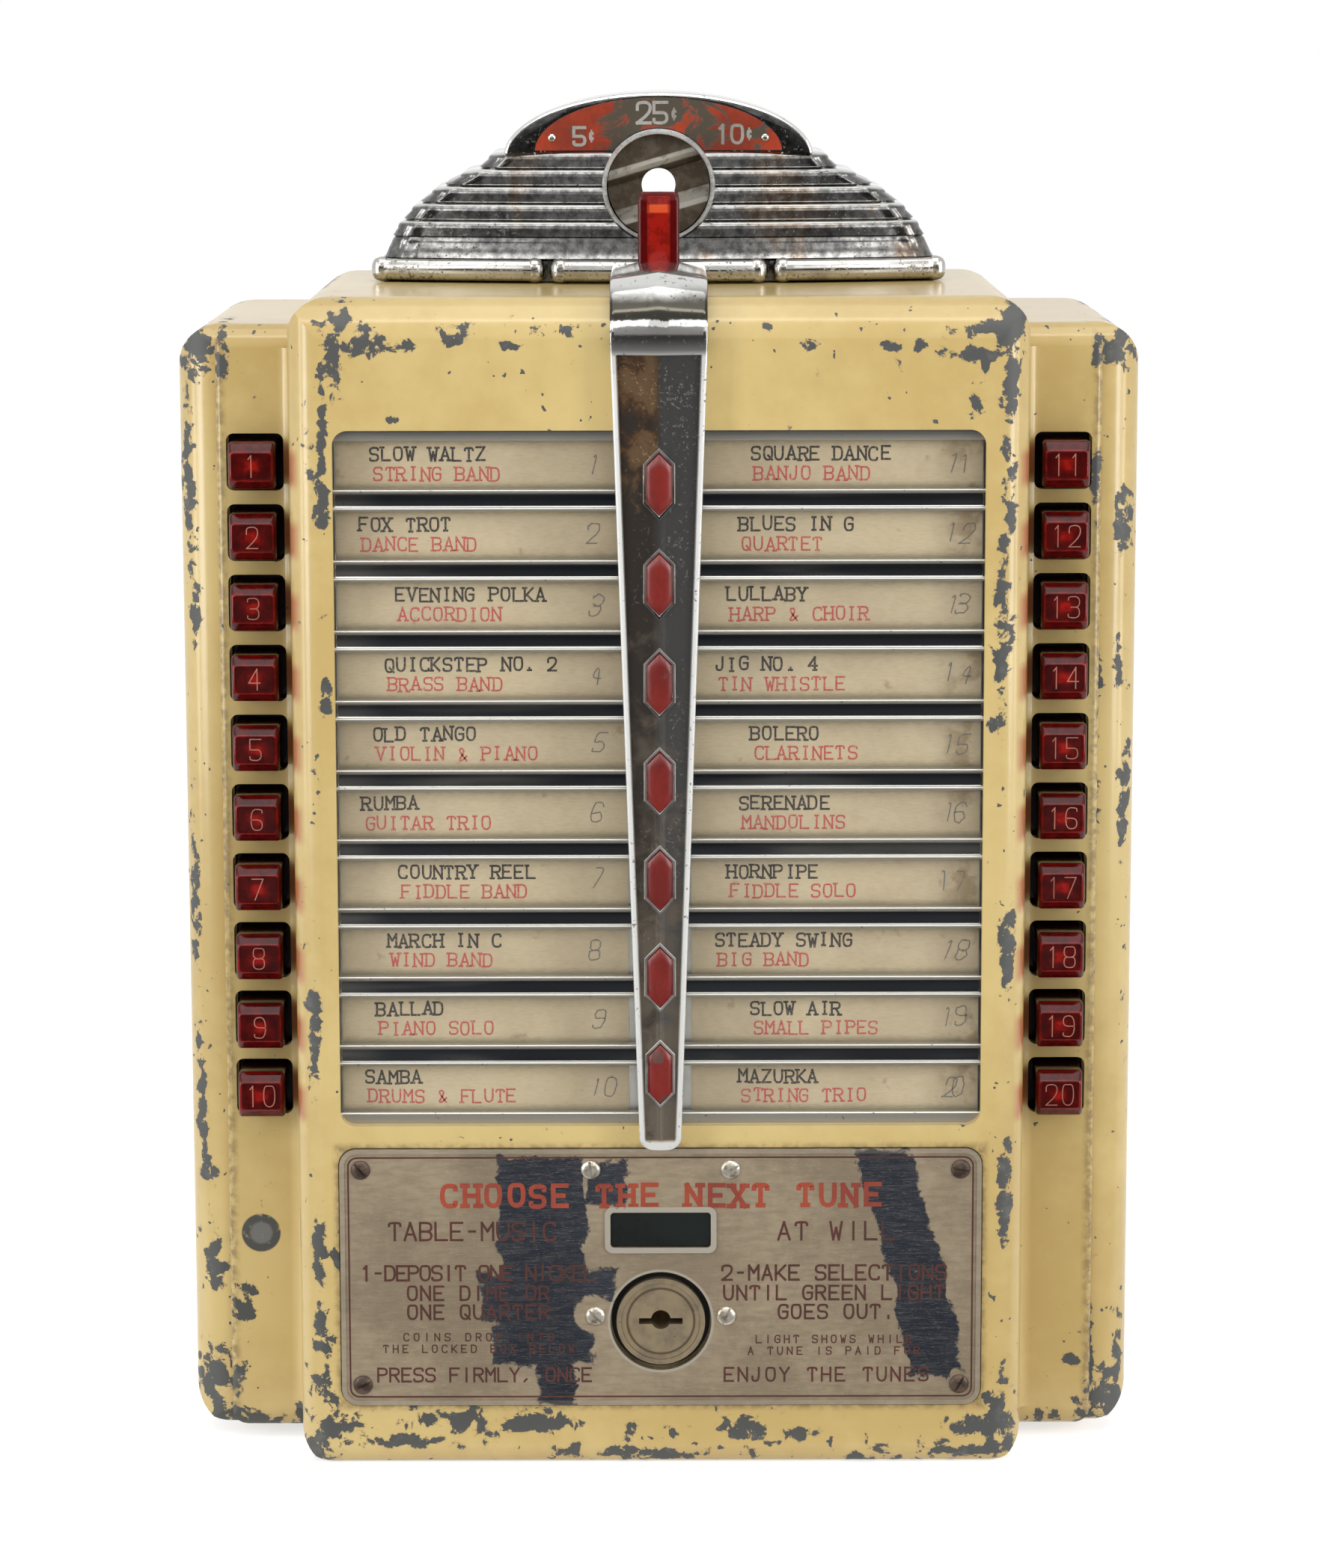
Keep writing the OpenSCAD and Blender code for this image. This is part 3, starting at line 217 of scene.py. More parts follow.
class Shape:
    """Collects closed bodies of points and faces and turns them into one mesh object."""

    def __init__(self):
        self.points = []
        self.faces = []
        self.count = 0

    def add(self, points, faces):
        """Adds one closed body, turned so that its faces point outwards.

        Six times the volume is the sum over fan triangles of a . (b x c); where it is
        negative, each face's order is reversed.
        """
        points = np.asarray(points, float).reshape(-1, 3)
        centre = points.mean(axis=0)
        volume = 0.0
        for width in sorted({len(face) for face in faces}):
            block = np.array([face for face in faces if len(face) == width])
            corners = points[block] - centre
            for k in range(1, width - 1):
                cross = np.cross(corners[:, k], corners[:, k + 1])
                volume += np.einsum("ij,ij->i", corners[:, 0], cross).sum()
        step = -1 if volume < 0 else 1
        self.faces.extend([[int(i) + self.count for i in face[::step]] for face in faces])
        self.points.append(points)
        self.count += len(points)

    def make(self, name, material, smooth=40.0):
        """Makes the object, with edges sharper than the given angle left sharp."""
        mesh = bpy.data.meshes.new(name)
        mesh.from_pydata(np.concatenate(self.points).tolist(), [], self.faces)
        mesh.validate()
        mesh.shade_smooth()
        mesh.set_sharp_from_angle(angle=math.radians(smooth))
        mesh.materials.append(material)
        return new_object(name, mesh)


def ring_faces(rings, around, closed=False):
    """Quads between rings of points, and a cap at each end unless the rings close on themselves."""
    i = np.arange(rings if closed else rings - 1)[:, None]
    j = np.arange(around)[None, :]
    here = (i % rings) * around
    following = ((i + 1) % rings) * around
    beside = (j + 1) % around
    quads = np.stack([here + j, here + beside, following + beside, following + j], axis=-1)
    faces = quads.reshape(-1, 4).tolist()
    if not closed:
        faces.append(list(range(around - 1, -1, -1)))
        faces.append(list(range((rings - 1) * around, rings * around)))
    return faces


def loft(shape, rings, closed=False):
    """A body through an array of closed rings: ring, point on the ring, coordinate."""
    rings = np.asarray(rings, float)
    shape.add(rings, ring_faces(rings.shape[0], rings.shape[1], closed))


def unit(vectors):
    """Vectors scaled to length one."""
    return vectors / np.maximum(np.linalg.norm(vectors, axis=-1, keepdims=True), 1e-12)


def tube(shape, path, section, up, closed=False):
    """Carries a section of (side, up) points along a path.

    At each point the side is the path's direction crossed with the up vector, so the
    section keeps upright as the path turns, and it is widened by one over the cosine of
    half the turn, so that a corner is mitred.
    """
    path = np.asarray(path, float)
    section = np.asarray(section, float)
    ahead = unit(np.roll(path, -1, axis=0) - path)
    behind = np.roll(ahead, 1, axis=0)
    if not closed:
        ahead[-1] = ahead[-2]
        behind[0] = ahead[0]
    along = unit(ahead + behind)
    widen = 1 / np.clip(np.sum(along * ahead, axis=1), 0.5, 1.0)
    up = np.broadcast_to(np.asarray(up, float), path.shape)
    side = unit(np.cross(along, up)) * widen[:, None]
    rise = unit(np.cross(side, along))
    rings = (path[:, None, :] + section[None, :, 0, None] * side[:, None, :]
             + section[None, :, 1, None] * rise[:, None, :])
    loft(shape, rings, closed)


def lathe(shape, profile, centre, turns=64):
    """Turns a profile of (radius, depth) points round an axis along Y through the centre.

    x = r cos t, z = r sin t, y = depth. The first and the last ring are capped.
    """
    profile = np.asarray(profile, float)
    angle = np.arange(turns) * 2 * np.pi / turns
    rings = np.stack([
        centre[0] + profile[:, 0, None] * np.cos(angle),
        centre[1] + np.repeat(profile[:, 1, None], turns, axis=1),
        centre[2] + profile[:, 0, None] * np.sin(angle)], axis=-1)
    loft(shape, rings)


def superellipse(half_w, half_h, power, count):
    """Points of |x/a|^n + |y/b|^n = 1, as x = a sgn(cos) |cos|^(2/n)."""
    angle = np.arange(count) * 2 * np.pi / count
    cos, sin = np.cos(angle), np.sin(angle)
    return np.stack([
        half_w * np.sign(cos) * np.abs(cos) ** (2 / power),
        half_h * np.sign(sin) * np.abs(sin) ** (2 / power)], axis=-1)


def rounded_rectangle(half_w, half_h, radius, steps=6):
    """Rectangle whose corners are quarter circles, counter-clockwise from the right side."""
    angle = np.linspace(0, np.pi / 2, steps)
    points = []
    for k, (sx, sy) in enumerate([(1, 1), (-1, 1), (-1, -1), (1, -1)]):
        turn = angle + k * np.pi / 2
        points.append(np.stack([sx * (half_w - radius) + radius * np.cos(turn),
                                sy * (half_h - radius) + radius * np.sin(turn)], axis=-1))
    return np.concatenate(points)


def round_corners(points, passes=2):
    """Cuts every inner corner at a quarter and three quarters of its sides, a few times over."""
    points = np.asarray(points, float)
    for _ in range(passes):
        cut = np.empty((2 * (len(points) - 1), 2))
        cut[0::2] = 0.75 * points[:-1] + 0.25 * points[1:]
        cut[1::2] = 0.25 * points[:-1] + 0.75 * points[1:]
        cut[0] = points[0]
        cut[-1] = points[-1]
        points = cut
    return points


def combine(thing, operation, others):
    """Joins bodies to an object or takes them out of it by exact booleans, and clears them up."""
    for other in others:
        step = thing.modifiers.new(operation.lower(), "BOOLEAN")
        step.operation = operation
        step.solver = "EXACT"
        step.object = other
    bpy.context.view_layer.update()
    graph = bpy.context.evaluated_depsgraph_get()
    result = bpy.data.meshes.new_from_object(thing.evaluated_get(graph))
    thing.modifiers.clear()
    thing.data = result
    result.shade_smooth()
    result.set_sharp_from_angle(angle=math.radians(38))
    for other in others:
        bpy.data.objects.remove(other)


def standing(outline, middle, y):
    """Points of an outline of (x, z) that stands at a depth, round a middle."""
    across, up = (np.asarray(outline) + middle).T
    return np.column_stack([across, np.full(len(across), y), up])


# ---- lettering

# Strokes on a field 4 wide and 6 high. A stroke that starts with ~ is bent, the rest are straight.
GLYPHS = {
    "A": "00 26 40|12 32", "B": "00 06|~06 46 43 03|~03 43 40 00", "C": "~45 46 06 00 40 41",
    "D": "00 06|~06 46 40 00", "E": "46 06 00 40|03 33", "F": "46 06 00|03 33",
    "G": "~45 46 06 00 40 43|23 43", "H": "00 06|40 46|03 43", "I": "20 26", "J": "~36 30 00 02",
    "K": "00 06|46 02|13 40", "L": "06 00 40", "M": "00 06 23 46 40", "N": "00 06 40 46",
    "O": "~26 06 00 40 46 26", "P": "00 06|~06 46 43 03", "Q": "~26 06 00 40 46 26|22 40",
    "R": "00 06|~06 46 43 03|23 40", "S": "~45 46 06 03 43 40 00 01", "T": "20 26|~05 06 46 45",
    "U": "~06 00 40 46", "V": "06 20 46", "W": "06 10 24 30 46", "X": "00 46|06 40",
    "Y": "06 23 46|23 20", "Z": "06 46 00 40", "0": "~26 06 00 40 46 26", "1": "15 26 20",
    "2": "~04 06 46 43 00|00 40", "3": "~05 06 46 43 13|~13 43 40 00 01", "4": "30 36 02 42",
    "5": "46 06 03|~03 13 43 40 00 01", "6": "~45 46 06 00 40 43 03", "7": "06 46 10",
    "8": "~26 06 03 43 46 26|~23 03 00 40 43 23", "9": "~43 03 06 46 40 00 01",
    "¢": "~34 35 15 11 31 32|20 26", "-": "13 33", ".": "20 21", ",": "21 10",
    "&": "~40 05 26 34 00 20 42",
}
FIELD_W = 4.0
FIELD_H = 6.0


def glyph_strokes(letter):
    """The letter's strokes as arrays of points on its field."""
    strokes = []
    for text in GLYPHS.get(letter, "").split("|"):
        if not text:
            continue
        bent = text.startswith("~")
        points = np.array([[int(pair[0]), int(pair[1])] for pair in text.lstrip("~").split()], float)
        strokes.append((round_corners(points, 2) if bent else points, bent))
    return strokes


def serifs(points):
    """Short level bars at the ends of a stroke that stand on the line or reach the top."""
    reach = 0.8
    bars = []
    for end, inner in ((points[0], points[1]), (points[-1], points[-2])):
        steep = abs(end[1] - inner[1]) > abs(end[0] - inner[0])
        if steep and end[1] in (0.0, FIELD_H):
            bars.append(np.array([[end[0] - reach, end[1]], [end[0] + reach, end[1]]]))
    return bars


def flat_stroke(shape, points, width, front, depth):
    """A bar of rectangular section along a line of (x, z) points, its face towards -Y.

    The edges lie half the width to either side along the mitred normal.
    """
    loop = len(points) > 3 and np.allclose(points[0], points[-1])
    if loop:
        points = points[:-1]
        along = unit(np.roll(points, -1, axis=0) - np.roll(points, 1, axis=0))
    else:
        along = unit(np.gradient(points, axis=0))
    normal = np.stack([-along[:, 1], along[:, 0]], axis=-1) * width / 2
    left, right = points + normal, points - normal
    ends = along[[0, -1]] * (0.0 if loop else width / 2)
    for edge in (left, right):
        edge[0] -= ends[0]
        edge[-1] += ends[1]
    far = front + depth
    rings = [standing(edge, (0, 0), y)
             for edge, y in ((left, front), (right, front), (right, far), (left, far))]
    loft(shape, np.stack(rings, axis=1), closed=loop)


def write(shape, words, x, z, front, height, pitch, weight, style="plain", seed=0, depth=0.06 * MM,
          anchor="left", slim=1.0):
    """Writes a line of capitals in strokes; x is its left end or its middle, z its foot.

    The typed style has serifs and a little play in place; the pencil style leans and wavers.
    """
    chance = np.random.default_rng(seed)
    scale_z = height / FIELD_H
    scale_x = scale_z * slim
    if anchor == "middle":
        x = x - (len(words) - 1) * pitch / 2 - FIELD_W * scale_x / 2
    for count, letter in enumerate(words):
        shift = np.zeros(2)
        lean = 0.0
        if style == "typed":
            shift = chance.normal(0, 0.03, 2) * height
        if style == "pencil":
            shift = chance.normal(0, 0.07, 2) * height
            lean = 0.22 + chance.normal(0, 0.08)
        for order, (points, bent) in enumerate(glyph_strokes(letter)):
            bars = [points] if bent else [points[k:k + 2] for k in range(len(points) - 1)]
            if style == "typed" and not bent:
                bars += serifs(points)
            if style == "pencil":
                bars = [round_corners(points + chance.normal(0, 0.18, points.shape), 2)]
            for step, bar in enumerate(bars):
                apart = 0.006 * MM * (3 * order + step)
                place = np.stack([
                    x + count * pitch + bar[:, 0] * scale_x + lean * bar[:, 1] * scale_z + shift[0],
                    z + bar[:, 1] * scale_z + shift[1]], axis=-1)
                flat_stroke(shape, place, weight, front - apart, depth)


# ---- node helpers


def operator_node(operation, swapped=False):
    """A method that puts a Math node between a field and what stands on its other side."""
    def method(self, other):
        values = (other, self) if swapped else (self, other)
        return maths(self.tree, operation, *values)
    return method


class Field:
    """A value that changes over a surface; its sums, products and comparisons are Math nodes."""

    __array_ufunc__ = None

    def __init__(self, tree, socket):
        self.tree = tree
        self.socket = socket

    __add__ = operator_node("ADD")
    __radd__ = operator_node("ADD", swapped=True)
    __sub__ = operator_node("SUBTRACT")
    __rsub__ = operator_node("SUBTRACT", swapped=True)
    __mul__ = operator_node("MULTIPLY")
    __truediv__ = operator_node("DIVIDE")
    __lt__ = operator_node("LESS_THAN")
    __gt__ = operator_node("GREATER_THAN")

    def __abs__(self):
        return maths(self.tree, "ABSOLUTE", self)


def join(tree, socket, value):
    """Links a socket to a field or another socket, or gives it a plain value."""
    if isinstance(value, Field):
        value = value.socket
    if isinstance(value, bpy.types.NodeSocket):
        tree.links.new(value, socket)
    elif socket.type == "RGBA" and len(value) == 3:
        socket.default_value = (*value, 1.0)
    else:
        socket.default_value = value


def add(tree, kind, inputs=None, **options):
    """Adds a shader node, sets its options and joins its inputs by name or number."""
    made = tree.nodes.new("ShaderNode" + kind)
    for key, value in options.items():
        setattr(made, key, value)
    for key, value in (inputs or {}).items():
        join(tree, made.inputs[key], value)
    return made


def field(tree, kind, output, inputs=None, **options):
    """Adds a shader node and gives one of its outputs as a field."""
    return Field(tree, add(tree, kind, inputs, **options).outputs[output])


def maths(tree, operation, *values, clamp=False):
    """A Math node over up to three values."""
    return field(tree, "Math", 0, dict(enumerate(values)), operation=operation, use_clamp=clamp)


def most(first, second):
    """The larger of two fields."""
    return maths(first.tree, "MAXIMUM", first, second)


def least(first, second):
    """The smaller of two fields."""
    return maths(first.tree, "MINIMUM", first, second)


def between(value, low, high, out_low=0.0, out_high=1.0, smooth=True):
    """Maps a value from one range to another, clamped, with soft ends."""
    return field(value.tree, "MapRange", "Result",
                 {"Value": value, "From Min": low, "From Max": high, "To Min": out_low,
                  "To Max": out_high},
                 interpolation_type="SMOOTHSTEP" if smooth else "LINEAR")


def band(value, low, high):
    """1 between two values and 0 outside, with soft edges."""
    edge = 0.25 * MM
    return between(value, low - edge, low + edge) * between(value, high - edge, high + edge, 1.0, 0.0)


def mixed(factor, first, second):
    """Mixes two colours."""
    return field(factor.tree, "Mix", 2, {0: factor, 6: first, 7: second}, data_type="RGBA")


def mixed_number(factor, first, second):
    """Blend of two numbers, by the factor."""
    return field(factor.tree, "Mix", 0, {0: factor, 2: first, 3: second}, data_type="FLOAT")


def noise(place, scale, detail=3.0, rough=0.5, warp=0.0):
    """Fractal noise between about 0.25 and 0.75."""
    return field(place.tree, "TexNoise", "Fac", {"Vector": place, "Scale": scale, "Detail": detail,
                                                 "Roughness": rough, "Distortion": warp})


def stretched(place, scale, turn=(0.0, 0.0, 0.0)):
    """Coordinates stretched and turned for a drawn-out pattern."""
    return field(place.tree, "Mapping", 0, {"Vector": place, "Scale": scale, "Rotation": turn})


def parts(place):
    """The three coordinates of a place."""
    made = add(place.tree, "SeparateXYZ", {0: place})
    return [Field(place.tree, socket) for socket in made.outputs]


def pair(first, second):
    """Two coordinates as a vector."""
    return field(first.tree, "CombineXYZ", 0, {0: first, 1: second})


def span(vector, other=None):
    """Length of a vector, or its distance from another."""
    if other is None:
        return field(vector.tree, "VectorMath", "Value", {0: vector}, operation="LENGTH")
    return field(vector.tree, "VectorMath", "Value", {0: vector, 1: other}, operation="DISTANCE")


def stored(tree, name):
    """The number that mark_points left on the mesh under a name."""
    return field(tree, "Attribute", "Fac", attribute_name=name, attribute_type="GEOMETRY")


def new_group(name, ins, outs):
    """A shader node group with named inputs (name, socket kind, default) and outputs."""
    group = bpy.data.node_groups.new(name, "ShaderNodeTree")
    for label, kind, default in ins:
        socket = group.interface.new_socket(name=label, in_out="INPUT", socket_type="NodeSocket" + kind)
        if default is not None:
            socket.default_value = default
    for label, kind in outs:
        group.interface.new_socket(name=label, in_out="OUTPUT", socket_type="NodeSocket" + kind)
    source = group.nodes.new("NodeGroupInput")
    sink = group.nodes.new("NodeGroupOutput")
    return group, fields_of(group, source), sink.inputs


def fields_of(tree, node):
    """A node's outputs as fields, by name."""
    return {socket.name: Field(tree, socket) for socket in node.outputs}


def use(group, **values):
    """Places a group beside its Place; the words of a socket's name are joined by underscores."""
    tree = values["Place"].tree
    made = tree.nodes.new("ShaderNodeGroup")
    made.node_tree = group
    for key, value in values.items():
        join(tree, made.inputs[key.replace("_", " ")], value)
    return fields_of(tree, made)


def start_material(name):
    """An empty material and its tree."""
    material = bpy.data.materials.new(name)
    material.use_nodes = True
    tree = material.node_tree
    tree.nodes.clear()
    return material, tree


def start_finish(name):
    """An empty material, its tree and the object coordinates, in metres."""
    material, tree = start_material(name)
    return material, tree, field(tree, "TexCoord", "Object")


def surface(tree, colour, rough, metal, height=None, bump=0.3, distance=0.2 * MM, **values):
    """A Principled shader on the material's output, with a bump from a height if one is given."""
    shader = tree.nodes.new("ShaderNodeBsdfPrincipled")
    values = {"Base_Color": colour, "Roughness": rough, "Metallic": metal, **values}
    for key, value in values.items():
        join(tree, shader.inputs[key.replace("_", " ")], value)
    if height is not None:
        relief = add(tree, "Bump", {"Height": height, "Strength": bump, "Distance": distance})
        join(tree, shader.inputs["Normal"], relief.outputs[0])
    out = tree.nodes.new("ShaderNodeOutputMaterial")
    join(tree, out.inputs["Surface"], shader.outputs[0])
    return shader


# ---- shared effects


def pits_group():
    """Specks of pitting: fine noise above a level that a broad noise moves."""
    group, ins, outs = new_group(
        "pitting",
        [("Place", "Vector", None), ("Amount", "Float", 0.3), ("Size", "Float", 1000.0)],
        [("Specks", "Float")])
    fine = noise(ins["Place"], ins["Size"], 4.0, 0.65)
    broad = noise(ins["Place"], ins["Size"] * 0.055, 4.0, 0.6, 0.3)
    level = 0.8 - ins["Amount"] * (broad * 0.75)
    join(group, outs["Specks"], between(fine, level, level + 0.035))
    return group


def chips_group():
    """Missing enamel: ragged noise above a level, helped by broken edge wear and by worn places."""
    group, ins, outs = new_group(
        "enamel_chips",
        [("Place", "Vector", None), ("Edges", "Float", 0.0), ("Spots", "Float", 0.0),
         ("Level", "Float", 0.7), ("Pull", "Float", 0.4)],
        [("Chip", "Float"), ("Rim", "Float")])
    ragged = noise(ins["Place"], 250.0, 7.0, 0.62, 0.35)
    patch = between(noise(ins["Place"], 21.0, 3.0, 0.55), 0.47, 0.64)
    edges = ins["Edges"] * patch * ins["Pull"]
    pull = most(edges, ins["Spots"] * 0.29)
    total = ragged + pull
    join(group, outs["Chip"], between(total, ins["Level"], ins["Level"] + 0.012))
    join(group, outs["Rim"], between(total, ins["Level"] - 0.04, ins["Level"]))
    return group


def mottle_group():
    """Two colours mixed by a slow and a fine noise."""
    group, ins, outs = new_group(
        "mottle",
        [("Place", "Vector", None), ("Scale", "Float", 12.0), ("First", "Color", None),
         ("Second", "Color", None)],
        [("Color", "Color")])
    slow = noise(ins["Place"], ins["Scale"], 3.0, 0.55)
    fine = noise(ins["Place"], ins["Scale"] * 14.0, 3.0, 0.6)
    blend = slow * 0.75 + fine * 0.25
    factor = between(blend, 0.38, 0.62)
    join(group, outs["Color"], mixed(factor, ins["First"], ins["Second"]))
    return group


def scratches_group():
    """Fine lines: noise drawn out along one direction, kept only near its middle value."""
    group, ins, outs = new_group(
        "scratches",
        [("Place", "Vector", None), ("Density", "Float", 0.5), ("Size", "Float", 60.0)],
        [("Line", "Float")])
    lines = []
    for turn, stretch in ((0.5, 22.0), (-0.9, 26.0), (1.35, 18.0)):
        drawn = stretched(ins["Place"], (1.0, 1.0, stretch), (0.0, turn, 0.0))
        off = abs(noise(drawn, ins["Size"], 2.0, 0.5) - 0.5)
        lines.append(between(off, 0.0, ins["Density"] * 0.012, 1.0, 0.0))
    join(group, outs["Line"], reduce(most, lines))
    return group


def build_effects():
    """The shared groups by name, made once."""
    return {"pits": pits_group(), "chips": chips_group(), "mottle": mottle_group(),
            "scratches": scratches_group()}


EFFECTS = {}
FINISHES = {}


def pits(place, amount, size):
    """How pitted the plating is at a place."""
    return use(EFFECTS["pits"], Place=place, Amount=amount, Size=size)["Specks"]


def mottled(place, scale, first, second):
    """Two colours mottled together."""
    return use(EFFECTS["mottle"], Place=place, Scale=scale, First=first, Second=second)["Color"]


# ---- materials

# Places on the block's front where the enamel has worn off: x, z, half-width, half-height in
# millimetres
BLOCK_CHIPS = [
    (-82, 305, 5, 4.5), (-84, 296, 2.8, 8), (-76, 299, 8, 3), (-64, 299, 2.2, 2.2), (-52, 301, 3, 2),
    (-38, 299, 4, 1.3), (-87, 276, 1.3, 17), (-87, 258, 2.0, 9), (-87, 207, 1.6, 4.5),
    (-69, 280, 1.6, 1),
    (93, 306, 3, 2.5), (89, 300, 3.6, 2.6), (83, 297, 8, 2), (84, 293, 1.5, 3), (82, 283, 2.3, 2.6),
    (88, 284, 1.6, 1.8), (89, 289, 1.5, 1.2), (89, 229, 2.1, 25), (87, 200, 1.6, 3), (38, 299, 2.5, 2),
    (59, 299, 2.6, 1.5), (67, 299, 2, 1.4), (28, 304, 1.6, 1.3), (-90.5, 58, 2.0, 10),
    (-86, 57, 1.8, 2.4),
    (-91, 38, 1.8, 7), (-88, 34, 2.6, 3.4), (-90, 22, 4, 5), (-86, 10, 8, 4.5), (-91, 4, 6, 6),
    (-55, 13, 12, 3.2), (-33, 12, 9, 3), (-46, 8, 3, 3.5), (-68, 7, 11, 1.8), (-8, 10, 2.6, 2.6),
    (3, 9, 1.8, 2.2), (-5, 3, 14, 2.2), (-26, 4, 5, 2.2), (22, 10, 6, 3.4), (37, 9, 6, 2.2),
    (30, 6, 3, 1.3), (80, 12, 6, 3), (90, 10, 4.5, 9), (84, 4, 12, 1.8), (88, 17, 3, 3),
]
# The same on the wings
WING_CHIPS = [
    (-113, 39, 3.4, 6.5), (-115, 18, 3, 6), (-108, 5, 9, 2.6), (-98, 7, 2, 3), (-115, 296, 1.8, 8),
    (115, 262, 1.7, 9), (115, 296, 2, 4), (104, 6, 4, 2.2), (114, 8, 3, 4), (111, 22, 2.4, 1.6),
    (-122, 296, 5, 7), (-124.5, 262, 2, 24), (-122, 74, 2.4, 4), (-121, 48, 3, 8), (-122, 15, 5, 9),
    (-119, 6, 6, 4), (-124, 95, 1.6, 18), (121, 296, 5, 5), (123, 250, 2.6, 9), (122, 17, 3.4, 3),
    (123, 8, 5, 4), (122, 212, 1.5, 8), (-125, 150, 1.6, 20), (125, 180, 1.6, 10), (-123, 225, 1.8, 9),
]
# Round repair patch on the left wing: x, z and radius
PATCH = (-108, 58, 5.6)


# Edges and corners of the case that wear, seen end on: two coordinates, the line's place in them
# and its reach, in millimetres
EDGE_LINES = [
    ("aside", "depth", (91, 1), 4.5), ("up", "depth", (303.5, 1), 4.5), ("up", "depth", (3, 3), 8),
    ("aside", "depth", (123.5, 31), 5), ("aside", "depth", (116.8, 26), 2.6),
    ("up", "depth", (5, 29), 9), ("up", "depth", (301, 27), 4), ("aside", "up", (122, 297), 13),
    ("aside", "up", (122, 9), 15), ("aside", "up", (92, 307), 8), ("aside", "up", (90, 5), 12),
    ("aside", "depth", (126, 132), 4),
]


def near_line(first, second, at, reach):
    """How near two coordinates are to a line seen end on: 1 on it, 0 past its reach."""
    apart = span(pair(first, second), (at[0] * MM, at[1] * MM, 0.0))
    return between(apart, 0.0, reach * MM, 1.0, 0.0)


def case_edges_group():
    """How strongly each place of the case wears: its edges, corners and worn places; also where the
    buttons' painted reflection goes and where the creases are darkened.

    They are found from the distance from the middle, the depth behind the flat front and the height.
    """
    group, ins, outs = new_group(
        "case_edges", [("Place", "Vector", None)],
        [("Edges", "Float"), ("Spots", "Float"), ("Patch", "Float"), ("Glow", "Float"),
         ("Crease_darkening", "Float")])
    split = parts(ins["Place"])
    aside = abs(split[0])
    depth = split[1] - FRONT_Y
    up = split[2]
    along = {"aside": aside, "depth": depth, "up": up}
    lines = [near_line(along[first], along[second], at, reach)
             for first, second, at, reach in EDGE_LINES]
    join(group, outs["Edges"], reduce(most, lines))
    block = between(depth, 12 * MM, 14 * MM, 1.0, 0.0) * (aside < 96.5 * MM)
    wing = between(depth, 60 * MM, 66 * MM, 1.0, 0.0) * (aside > 96.5 * MM)
    front = worn_spots(split[0], up, BLOCK_CHIPS, block)
    sides = worn_spots(split[0], up, WING_CHIPS, wing)
    join(group, outs["Spots"], most(front, sides))
    far = span(pair(split[0], up), (PATCH[0] * MM, PATCH[1] * MM, 0.0))
    rear = between(depth, 60 * MM, 70 * MM, 1.0, 0.0)
    join(group, outs["Patch"], between(far, 0.0, PATCH[2] * MM, 1.0, 0.0, smooth=False) * rear)
    join(group, outs["Glow"], button_glow(aside, up))
    join(group, outs["Crease_darkening"], case_grime(aside, depth, up))
    return group


def worn_spots(across, up, places, where):
    """How deep a place lies in the nearest of the worn ellipses: 1 in the middle, 0 outside."""
    far = [span(pair((across - x * MM) / (half_w * MM), (up - z * MM) / (half_h * MM)))
           for x, z, half_w, half_h in places]
    return between(reduce(least, far), 0.4, 1.75, 1.0, 0.0, smooth=False) * where


def button_glow(aside, up):
    """Painted reflection of the red buttons on the block's side, one spot to a button pitch."""
    low, high = node_box("button_10")
    top, _ = node_box("button_01")
    first = 0.5 * (low[2] + high[2])
    pitch = (top[2] - low[2]) / (ROWS - 1)
    turn = maths(up.tree, "FRACT", 0.5 + (up - first) / pitch)
    near = between(abs(turn - 0.5), 0.14, 0.34, 1.0, 0.0)
    inside = (up > first - 0.5 * pitch) * (up < first + (ROWS - 0.5) * pitch)
    side = between(aside, 92.6 * MM, 95.2 * MM) * between(aside, 104 * MM, 99 * MM)
    return near * inside * side


def case_grime(aside, depth, up):
    """Darker, specked brown in the hollow beside the block and along the name plate's edge."""
    hollow = near_line(aside, depth, (116, 24.5), 3)
    plate_x = aside - (PLATE_HIGH[0] - 1 * MM)
    middle = 0.5 * (PLATE_LOW[2] + PLATE_HIGH[2])
    half = 0.5 * (PLATE_HIGH[2] - PLATE_LOW[2])
    plate_z = abs(up - middle) - (half - 1 * MM)
    edge = most(plate_x, plate_z)
    around = between(edge, 0.5 * MM, 3.5 * MM, 1.0, 0.0) * between(depth, 2 * MM, 3 * MM, 1.0, 0.0)
    return most(hollow, around)


